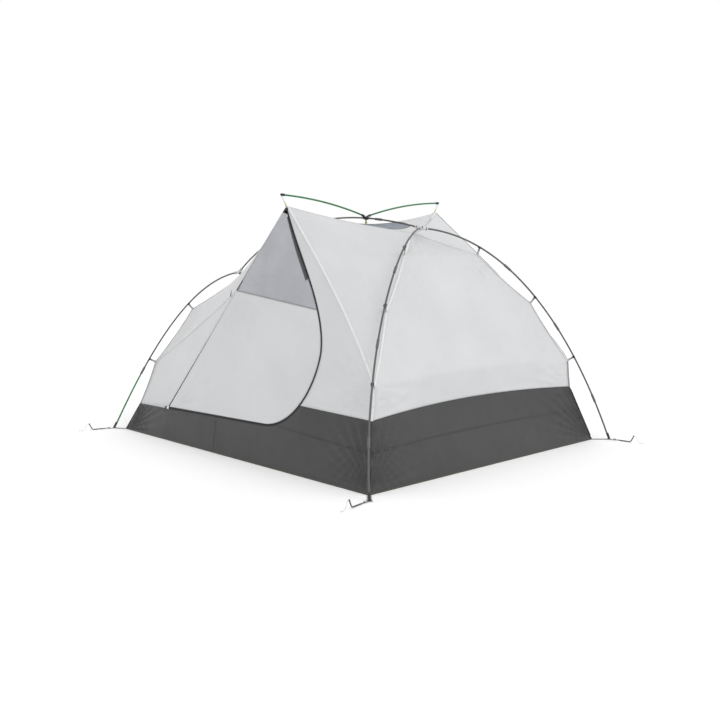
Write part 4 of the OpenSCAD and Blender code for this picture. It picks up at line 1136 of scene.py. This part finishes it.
# --- tub and floor
TUB_ROWS = 36
u_zip = np.linspace(1, ZIP_TUB, 91)
zip_low = zip_at(u_zip, -TAPE_HALF)
tub_top = np.vstack([mix(TUB_LOW, zip_low[0], steps_to_one(41))[:-1], zip_low,
                     mix(zip_low[-1], TUB_HIGH, steps_to_one(61))[1:]])
share = (tub_top[:, 0] - TUB_LOW[0]) / (TUB_HIGH[0] - TUB_LOW[0])
foot_x = CORNER_LOW[0] + (CORNER_HIGH[0] - CORNER_LOW[0]) * share
tub_foot = np.stack([foot_x, floor_y(foot_x), np.zeros(len(foot_x))], axis=1)
v_tub = steps_to_one(TUB_ROWS + 1)
length = run_length(tub_top)
tub_side = coons(tub_top, tub_foot, mix(TUB_LOW, CORNER_LOW, v_tub),
    mix(TUB_HIGH, CORNER_HIGH, v_tub),
                 length / length[-1], v_tub)


U_TUB = (1 - np.cos(np.pi * steps_to_one(161))) / 2


def tub_end(top_at, mid, low_at):
    return coons(arc3(side(top_at, FRONT), mid, top_at, U_TUB),
        mix(side(low_at, FRONT), low_at, U_TUB),
                 mix(side(top_at, FRONT), side(low_at, FRONT), v_tub), mix(top_at, low_at, v_tub),
                 U_TUB, v_tub)


def tub_pins(corner, top):
    return [(corner + (top - corner) * 0.04, 36, 0.110, 0.0042),
        (corner + (top - corner) * 0.75, 30, 0.070, 0.0026)]


high_fold, low_fold = tub_pins(CORNER_HIGH, TUB_HIGH), tub_pins(CORNER_LOW, TUB_LOW)
tub = Shape()
tub_surfaces = {}
for name, g, pins, seed in (
    ("high", tub_end(TUB_HIGH, TUB_MID_HIGH, CORNER_HIGH), pins_on(high_fold, FRONT, REAR), 11.0),
    ("low", tub_end(TUB_LOW, TUB_MID_LOW, CORNER_LOW), pins_on(low_fold, FRONT, REAR), 12.0),
    ("front", side(tub_side, FRONT), pins_on(high_fold + low_fold, FRONT), 13.0),
    ("rear", tub_side, high_fold + low_fold, 14.0),
):
    tub_surfaces[name] = crumpled(g, pins, drift=0.004, seed=seed)
    tub.grid(tub_surfaces[name])
tub = tub.piece("tub_wall", TUB, "tent", ["tub_front", "tub_rear", "tub_high", "tub_low"],
    "tub_fabric",
                thick=TUB_THICK, weld=True)

ground = Shape()
u_floor, v_floor = steps_to_one(61), steps_to_one(49)
inset = 0.003
low_front, high_front = side(CORNER_LOW, FRONT) + vec(inset, inset, 0), side(CORNER_HIGH,
    FRONT) + vec(-inset, inset, 0)
sheet_floor = coons(
    mix(low_front, high_front, u_floor), mix(side(low_front, -1), side(high_front, -1), u_floor),
    mix(low_front, side(low_front, -1), v_floor), mix(high_front, side(high_front, -1), v_floor),
    u_floor, v_floor)
rise = np.array([[abs(noise.noise(Vector(p * 7.0))) for p in row] for row in sheet_floor])
sheet_floor[..., 2] = 0.0010 + 0.0022 * rise * edge_mask(sheet_floor)
ground.grid(sheet_floor)
ground = ground.piece("floor_cloth", FLOOR, "tent", ["floor_sheet"], "floor_fabric",
    thick=TUB_THICK, offset=0)


# --- seams, bindings and hems
def line_on(g, points):
    """Points and normals on a grid at (row share, column share), for a seam on the cloth."""
    n, m = g.shape[0] - 1, g.shape[1] - 1
    normal = grid_normals(g)
    out, ways = [], []
    for v, u in points:
        y, x = min(max(v, 0), 1) * n, min(max(u, 0), 1) * m
        i, j = min(int(y), n - 1), min(int(x), m - 1)
        a, b = y - i, x - j
        for source, target in ((g, out), (normal, ways)):
            target.append((1 - a) * ((1 - b) * source[i, j] + b * source[i, j + 1])
                          + a * ((1 - b) * source[i + 1, j] + b * source[i + 1, j + 1]))
    return np.array(out), unit(np.array(ways))


def outward(points, ways):
    """Turns normals to face away from the middle of the tent."""
    middle = vec(0, 0, 0.35)
    flip = np.sign(((points - middle) * ways).sum(-1, keepdims=True))
    return ways * np.where(flip == 0, 1, flip)


# Where the tub's middle seam meets the high corners, as a share down from its top edge
MID_SHARE = 0.445
SEAM_LIFT = 0.0002
PALE_W, FOLD_W, LEG_FOLD_W, MID_W, CORNER_W = 0.010, 0.007, 0.008, 0.011, 0.008
BINDING_W, BINDING_T = 0.009, 0.0010
# How far the net window's binding stays off the hinge line, for the door to swing
HINGE_CLEAR = 0.002
# The end of the zip's arc and the upright seam under the door, along the tub
MID_SEAM_X, UP_SEAM_X = 0.326 * SX, -0.16 * SX


def seam_between(shape, line, ways, width, thick):
    shape.ribbon(line, outward(line, unit(ways)), width, thick, lift=SEAM_LIFT)


def shade_tub_foot(g):
    """A strip of painted shade along the foot of one side of the tub, for the shadowed band at the
    ground.
    """
    seam_between(foot_shade_strip, g[-1] + vec(0, 0, 0.004), outward(g, grid_normals(g))[-1], BINDING_W,
        BINDING_T)


white_seams, folded_seams, tub_seams, foot_shade_strip, dark_binding = (Shape() for _ in range(5))
for s, where in SIDES:
    gh, sh = surfaces[f"gusset_high_{where}"], surfaces[f"side_high_{where}"]
    gl, sl = surfaces[f"gusset_low_{where}"], surfaces[f"side_low_{where}"]
    rf = surfaces[f"roof_{where}"]
    n_gh, n_sh, n_gl, n_sl = (outward(g, grid_normals(g)) for g in (gh, sh, gl, sl))
    # the pale seam from the peak down to the lowest clip, and on down to the tub
    line = sh[:, -1]
    ways = np.vstack([n_sh[:GUSSET_HIGH_ROWS + 1, -2] + n_gh[:, 1],
        n_sh[GUSSET_HIGH_ROWS + 1:, -2]])
    seam_between(white_seams, line, ways, PALE_W, 0.0008)
    # the faint seam below the low gusset
    low_line = gl[HINGE_ROWS:, 0].copy()
    low_line[0] = mix(low_line[0], low_line[1], 0.5)
    seam_between(folded_seams, low_line, n_gl[HINGE_ROWS:, 1] + unit(n_sl[1, 1]), FOLD_W, 0.0006)
    # leg edges, where the end walls meet the sides
    wh, wl = surfaces["wall_high"], surfaces["wall_low"]
    column = 0 if s == FRONT else -1
    near = 1 if s == FRONT else -2
    n_wh, n_wl = outward(wh, grid_normals(wh)), outward(wl, grid_normals(wl))
    ways_high = np.vstack([n_gh[:, -2], n_sh[GUSSET_HIGH_ROWS + 1:, -2]]) + n_wh[:, near]
    seam_between(white_seams, wh[:, column], ways_high, PALE_W, 0.0007)
    ways_low = np.vstack([n_gl[:, -2], n_sl[1:, 1]]) + n_wl[:, near]
    seam_between(folded_seams, wl[:, column], ways_low, LEG_FOLD_W, 0.0007)
    # the roof's front edge
    edge_line = rf[:, -1]
    edge_ways = outward(edge_line, grid_normals(rf)[:, -2]) + vec(0, s * 0.8, 0)
    seam_between(folded_seams, edge_line[1:-1], edge_ways[1:-1], FOLD_W, 0.0007)
    # dark binding on the fixed side of the net window
    hinge_ways = np.repeat(side(WALL_OUT, s)[None], HINGE_ROWS + 1, 0)
    fixed_edge = gl[:HINGE_ROWS + 1, 0] + vec(HINGE_CLEAR, 0, 0)
    seam_between(dark_binding, fixed_edge, hinge_ways, PALE_W, 0.0009)
    # tub: middle seam towards the high corner, upright seam under the door, corner seams
    tg = tub_surfaces[where]
    cols = tg.shape[1] - 1
    u_start = 1 - (len(tub_top) - 1 - int(np.argmin(np.abs(tub_top[:, 0] - MID_SEAM_X) + (tub_top[:,
        2] > 0.25)))) / cols
    t = steps_to_one(60)
    start_z = np.interp(u_start * cols, np.arange(cols + 1), tub_top[:, 2])
    seam_z = mix(vec(start_z), vec((1 - MID_SHARE) * TUB_HIGH[2]), t)[:, 0]
    seam_u = u_start + (1 - u_start) * t
    seam_v = 1 - seam_z / np.interp(seam_u * cols, np.arange(cols + 1), tub_top[:, 2])
    mid_line, mid_ways = line_on(tg, list(zip(seam_v, seam_u)))
    seam_between(tub_seams, mid_line, mid_ways, MID_W, 0.0008)
    low_half = int(np.argmax(tub_top[:, 0] > 0))
    u_up = float(np.interp(UP_SEAM_X, tub_top[:low_half, 0], np.arange(low_half))) / cols
    up_line, up_ways = line_on(tg, [(k, u_up) for k in t])
    seam_between(tub_seams, up_line, up_ways, FOLD_W, 0.0007)
    for column, end_name in ((0, "low"), (-1, "high")):
        corner_line = tg[:, column]
        end_g = tub_surfaces[end_name]
        inner = 1 if s == FRONT else -2
        ways = outward(tg, grid_normals(tg))[:, 1 if column == 0 else -2] + outward(end_g,
            grid_normals(end_g))[:, inner]
        seam_between(tub_seams, corner_line, ways, CORNER_W, 0.0009)
    shade_tub_foot(tg)
for end_name in ("high", "low"):
    shade_tub_foot(tub_surfaces[end_name])
line, ways = line_on(tub_surfaces["high"], [(MID_SHARE, k) for k in steps_to_one(120)])
seam_between(tub_seams, line, ways, MID_W, 0.0008)
# dark binding round the roof window
rim = []
for s, xs in ((REAR, light_xs), (FRONT, light_xs[::-1])):
    for x in xs:
        p = roof_at(x, np.array([s * light_y(x) / roof_edge(x)[0][1]]))[0]
        if not rim or np.linalg.norm(p - rim[-1]) > 0.004:
            rim.append(p)
rim = np.array(rim + [rim[0]])
dark_binding.ribbon(rim, UP, BINDING_W, BINDING_T, lift=0.0003)

white_seams = white_seams.piece("seams_pale", SEAM_TAPE, "tent", slot="canopy_fabric")
folded_seams = folded_seams.piece("seams_folded", FLAT_SEAM, "tent", slot="canopy_fabric")
tub_seams = tub_seams.piece("tub_seams", TUB_SEAM, "tent", slot="tub_fabric")
# tub-foot strip: painted shade along the line where the tub meets the ground
foot_shade_strip = foot_shade_strip.piece("tub_foot_shade_strip", TUB_FOOT_SHADE, "tent", slot="tub_fabric")
dark_binding = dark_binding.piece("window_bindings", BINDING, "tent", slot="mesh")

# --- doors, zips, sliders and ties
DOOR_FIRST, DOOR_LAST = 0.012, 0.998
TIE_BACK, TIE_LENGTH = 0.038, 0.032
COIL_OFFSET, COIL_R, TOOTH_PITCH = 0.0028, 0.0019, 0.0042


def zip_half(name, body, node, a, b, off, s):
    """Half of a zip: a tape, and a row of teeth that mesh with the other half's."""
    steps = np.linspace(a, b, 150)
    out = side(WALL_OUT, s)
    tape_mid = off + math.copysign(0.0006, off)
    band = Shape()
    band.ribbon(side(zip_at(steps, tape_mid), s), out, 0.0044, 0.0009, lift=-0.0006)
    band.piece(f"{name}_tape", ZIP_TAPE, body, slot="zip")
    teeth = Shape()
    fine = side(zip_at(np.linspace(a, b, 900), off * 0.55), s)
    gone = run_length(fine)
    phase = TOOTH_PITCH / 2 if off > 0 else 0
    places = np.arange(phase + TOOTH_PITCH, gone[-1] - TOOTH_PITCH, TOOTH_PITCH)
    pts = np.stack([np.interp(places, gone, fine[:, k]) for k in range(3)], axis=1)
    ways = unit(np.gradient(pts, axis=0))
    for p, w in zip(pts, ways):
        x = unit(np.cross(out, w))
        teeth.block(p, (x, w, out), (0.0046, TOOTH_PITCH * 0.46, 0.0030), edge=0.0005)
    teeth.tube(side(zip_at(steps, off * 1.35), s), COIL_R * 0.62, sides=8)
    teeth.piece(f"{name}_teeth", ZIP_TEETH, body, [node], "zip")


def door_grids():
    """The door's net window and the panel below it."""
    net_rows, net_cols = 44, 25
    u = steps_to_one(net_cols)
    left = hinge_at(np.linspace(DOOR_FIRST, MESH_SHARE, net_rows))
    right = zip_at(np.linspace(DOOR_FIRST, ZIP_MESH, net_rows), ZIP_BACK)
    net_grid = coons(mix(left[0], right[0], u), mix(left[-1], right[-1], u), left, right, u,
        steps_to_one(net_rows))
    rows, cols = 64, 49
    u = steps_to_one(cols)
    low = zip_at(np.linspace(DOOR_LAST, ZIP_B, cols), ZIP_BACK)
    right = zip_at(np.linspace(ZIP_MESH, ZIP_B, rows), ZIP_BACK)
    left = mix(MESH_LEFT, low[0], steps_to_one(rows))
    panel_grid = coons(mix(left[0], right[0], u), low, left, right, u, steps_to_one(rows))
    return net_grid, panel_grid


net_grid, panel_grid = door_grids()
for s, where in SIDES:
    body = f"door_{where}"
    out = side(WALL_OUT, s)
    pins = [(side(MESH_LEFT, s), 24, 0.12, 0.0020),
        (side(zip_at([ZIP_MESH])[0], s), 26, 0.10, 0.0018),
            (side(on_wall(HINGE_END), s), 30, 0.14, 0.0022)]
    panel = Shape()
    door_surface = crumpled(side(panel_grid, s), pins, drift=0.0030, seed=20.0 + s)
    panel.grid(door_surface)
    panel = panel.piece(f"door_panel_{where}", CANOPY, body, [f"door_{where}"], "canopy_fabric",
        thick=CANOPY_THICK)
    netting_piece = Shape()
    net_surface = crumpled(side(net_grid, s), pins[:2], drift=0.0020, seed=24.0 + s)
    netting_piece.grid(net_surface)
    netting_piece = netting_piece.piece(f"door_net_{where}", NET, body, [f"door_mesh_{where}"],
        "mesh", thick=NET_THICK)
    net_hem = Shape()
    hem_line = door_surface[0].copy()
    hem_line[0] = mix(hem_line[0], hem_line[1], 0.5)
    net_hem.ribbon(hem_line, out, 0.006, 0.0009, lift=0.0002)
    net_hem.piece(f"door_net_hem_{where}", NET_HEM, body, slot="mesh")
    trims = Shape()
    cover_t = np.linspace(0.020, 0.192, 34)
    grow = smooth_step((cover_t - 0.012) / 0.13)
    cover = np.array([zip_at([t], 0.007 + 0.006 * g)[0] for t, g in zip(cover_t, grow)])
    trims.ribbon(side(cover, s), out, 0.007 + 0.011 * grow, 0.0016, lift=0.0026)
    trims = trims.piece(f"door_trims_{where}", BINDING, body, slot="mesh")
    zip_half(f"door_zip_{where}", body, f"door_zip_{where}", DOOR_FIRST, DOOR_LAST, COIL_OFFSET, s)
    zip_half(f"zip_{where}", "tent", f"zip_{where}", ZIP_FIRST, 1.0, -COIL_OFFSET, s)
    # pale tab over the low end of the zip
    end_tab = Shape()
    zip_way = unit(on_wall(ZIP_TURN[3]) - on_wall(ZIP_END))
    tab_mid = on_wall(ZIP_END) - 0.004 * zip_way
    tab_path = [side(tab_mid + k * zip_way, s) for k in np.linspace(-0.008, 0.006, 5)]
    end_tab.ribbon(tab_path, out, 0.017, 0.0012, lift=0.0002)
    end_tab.piece(f"zip_end_tab_{where}", SEAM_TAPE, "tent", slot="canopy_fabric")
    # slider: body, bridge and a cord pull with a moulded grip
    park = on_wall(ZIP_END) - 0.026 * zip_way + WALL_OUT * (0.002 + HAIR)
    park, along = side(park, s), side(zip_way, s)
    tall = np.cross(out, along)
    tall = tall if tall[2] > 0 else -tall
    slider = Shape()
    slider.block(park + 0.0009 * out, (tall, along, out), (0.0104, 0.0150, 0.0018), edge=0.0007)
    slider.block(park + 0.0022 * out, (tall, along, out), (0.0040, 0.0100, 0.0012), edge=0.0004)
    pull_top = park + 0.0022 * out - 0.0015 * tall
    slider.tube([pull_top, pull_top - 0.004 * tall, pull_top - 0.009 * tall], 0.0009, sides=8)
    slider.turned(pull_top - 0.008 * tall, -tall, [
        (0, 0.0010), (0.0008, 0.0015), *groove(0.0030, 0.0050, 0.0016, 0.0003, 0.0006),
        *groove(0.0085, 0.0105, 0.0016, 0.0003, 0.0006), (0.0150, 0.0015), (0.0160, 0.0009),
    ], sides=14)
    slider.piece(f"zip_slider_{where}", ZIP_TEETH, f"zip_slider_{where}", [f"slider_{where}"],
        "small_black")
    # tie: a short cord with a toggle bar
    tie_top, tie_low = (
        side(on_wall(mix(HINGE_TOP, HINGE_END, MESH_SHARE) - vec(TIE_BACK,
            down)) + 0.004 * WALL_OUT, s)
        for down in (0, TIE_LENGTH))
    tie = Shape()
    tie_way = unit(tie_low - tie_top)
    strand = np.cross(out, tie_way)
    for k in (-1, 1):
        steps = steps_to_one(10)
        bow = 0.0004 * k * np.sin(np.pi * steps)
        tie.tube(mix(tie_top, tie_low, steps) + (bow + 0.0006 * k)[:, None] * strand, 0.0007,
            sides=8)
    bar_way = unit(0.2 * out - tie_way)
    tie.turned(tie_low - 0.003 * bar_way, bar_way, [
        (0, 0.0014), (0.0010, 0.0024), (0.0035, 0.0026), (0.0050, 0.0020), (0.0090, 0.0018),
        (0.0130, 0.0020), (0.0145, 0.0026), (0.0170, 0.0024), (0.0180, 0.0014),
    ], sides=16)
    tie.piece(f"door_tie_{where}", SMALL_BLACK, f"tie_{where}", [f"tie_{where}"], "small_black")

# --- corner straps with their rings
straps, rings = Shape(), Shape()
STRAP_W, EYE_R, WASHER_R = 0.020, FOOT_R + 0.0015, 0.0140
LOOP_INNER, LOOP_OUTER, LOOP_LEN, LOOP_CHAMFER = 0.0039, 0.0050, 0.014, 0.0003
for where, (foot, heading) in STAKES.items():
    corner = side(CORNER_HIGH if "high" in where else CORNER_LOW, FRONT if "front" in where
        else REAR)
    foot = foot * vec(1, 1, 0)
    to_foot = unit(foot - corner)
    way = ground_way(heading)
    # from the tub corner to the eye, folded double
    start = corner + 0.002 * to_foot
    stop = foot - (EYE_R + 0.0005) * to_foot
    for lift in (0.0001, 0.0010):
        steps = steps_to_one(12)
        straps.ribbon(mix(start, stop, steps) + lift * UP, UP, STRAP_W, 0.0009)
    for share in (0.25, 0.34, 0.72, 0.81):
        middle = mix(start, stop, share) + 0.0018 * UP
        across = np.cross(UP, to_foot)
        straps.ribbon([middle - 0.008 * across, middle, middle + 0.008 * across], UP, 0.0010,
            0.0004)
    # round the eye, as a flat washer of webbing with a metal ring in it
    round_eye = np.stack([*circle(48), np.zeros(48)], 1)
    washer = [(EYE_R + 0.0008, 0.0001), (WASHER_R, 0.0001), (WASHER_R, 0.0017),
        (EYE_R + 0.0008, 0.0019)]
    metal = [(EYE_R + 0.0014 + 0.0011 * math.cos(a), 0.0014 + 0.0009 * math.sin(a))
             for a in np.linspace(0, 2 * np.pi, 9)]
    for shape, section in ((straps, washer + washer[:1]), (rings, metal)):
        shape.grid(np.stack([foot + r * round_eye + z * UP for r, z in section]), closed=True)
    # out to the loop that the stake slides through
    tongue = [foot + d * way + 0.0003 * UP for d in np.linspace(0.0125, LOOP_OUT + 0.001, 6)]
    straps.ribbon(tongue, UP, STRAP_W / 2, 0.0012)
    across = np.cross(UP, way)
    rows = []
    for d, shrink in ((0, LOOP_CHAMFER), (0.0006, 0), (LOOP_LEN - 0.0006, 0),
        (LOOP_LEN, LOOP_CHAMFER)):
        loop = []
        for r, first, last in ((LOOP_OUTER - shrink, -50, 230), (LOOP_INNER, 230, -50)):
            for a in np.radians(np.linspace(first, last, 26)):
                z = max(STAKE_R + r * math.sin(a), 0.0001)
                loop.append(foot + (LOOP_OUT + d) * way + r * math.cos(a) * across + z * UP)
        rows.append(loop)
    straps.grid(np.array(rows), closed=True)
straps.piece("corner_webbing", WEBBING, "tent", ["corner_straps"], "webbing")
rings.piece("corner_rings", GROMMET, "tent", slot="stake_metal")

# --- floor, world and lights
plane = bpy.data.meshes.new("studio_floor")
REACH, FLOOR_Z = 14.0, -0.001
plane.from_pydata([(x * REACH, y * REACH, FLOOR_Z)
    for x, y in ((-1, -1), (1, -1), (1, 1), (-1, 1))],
                  [], [(0, 1, 2, 3)])
studio_floor = bpy.data.objects.new("studio_floor", plane)
bpy.context.scene.collection.objects.link(studio_floor)
plane.materials.append(material("studio_floor_pale", (0.99, 0.99, 0.99), 0.9))

world = bpy.data.worlds.new("studio")
bpy.context.scene.world = world
world.use_nodes = True
world.node_tree.nodes["Background"].inputs["Color"].default_value = (1, 1, 1, 1)
world.node_tree.nodes["Background"].inputs["Strength"].default_value = 1.0


def sun(name, towards, strength, spread):
    data = bpy.data.lights.new(name, "SUN")
    data.energy, data.angle = strength, math.radians(spread)
    light = bpy.data.objects.new(name, data)
    light.rotation_mode = "QUATERNION"
    light.rotation_quaternion = Vector(towards).to_track_quat("Z", "Y")
    bpy.context.scene.collection.objects.link(light)


sun("key", (0.80, 0.05, 0.60), 0.62, 50)
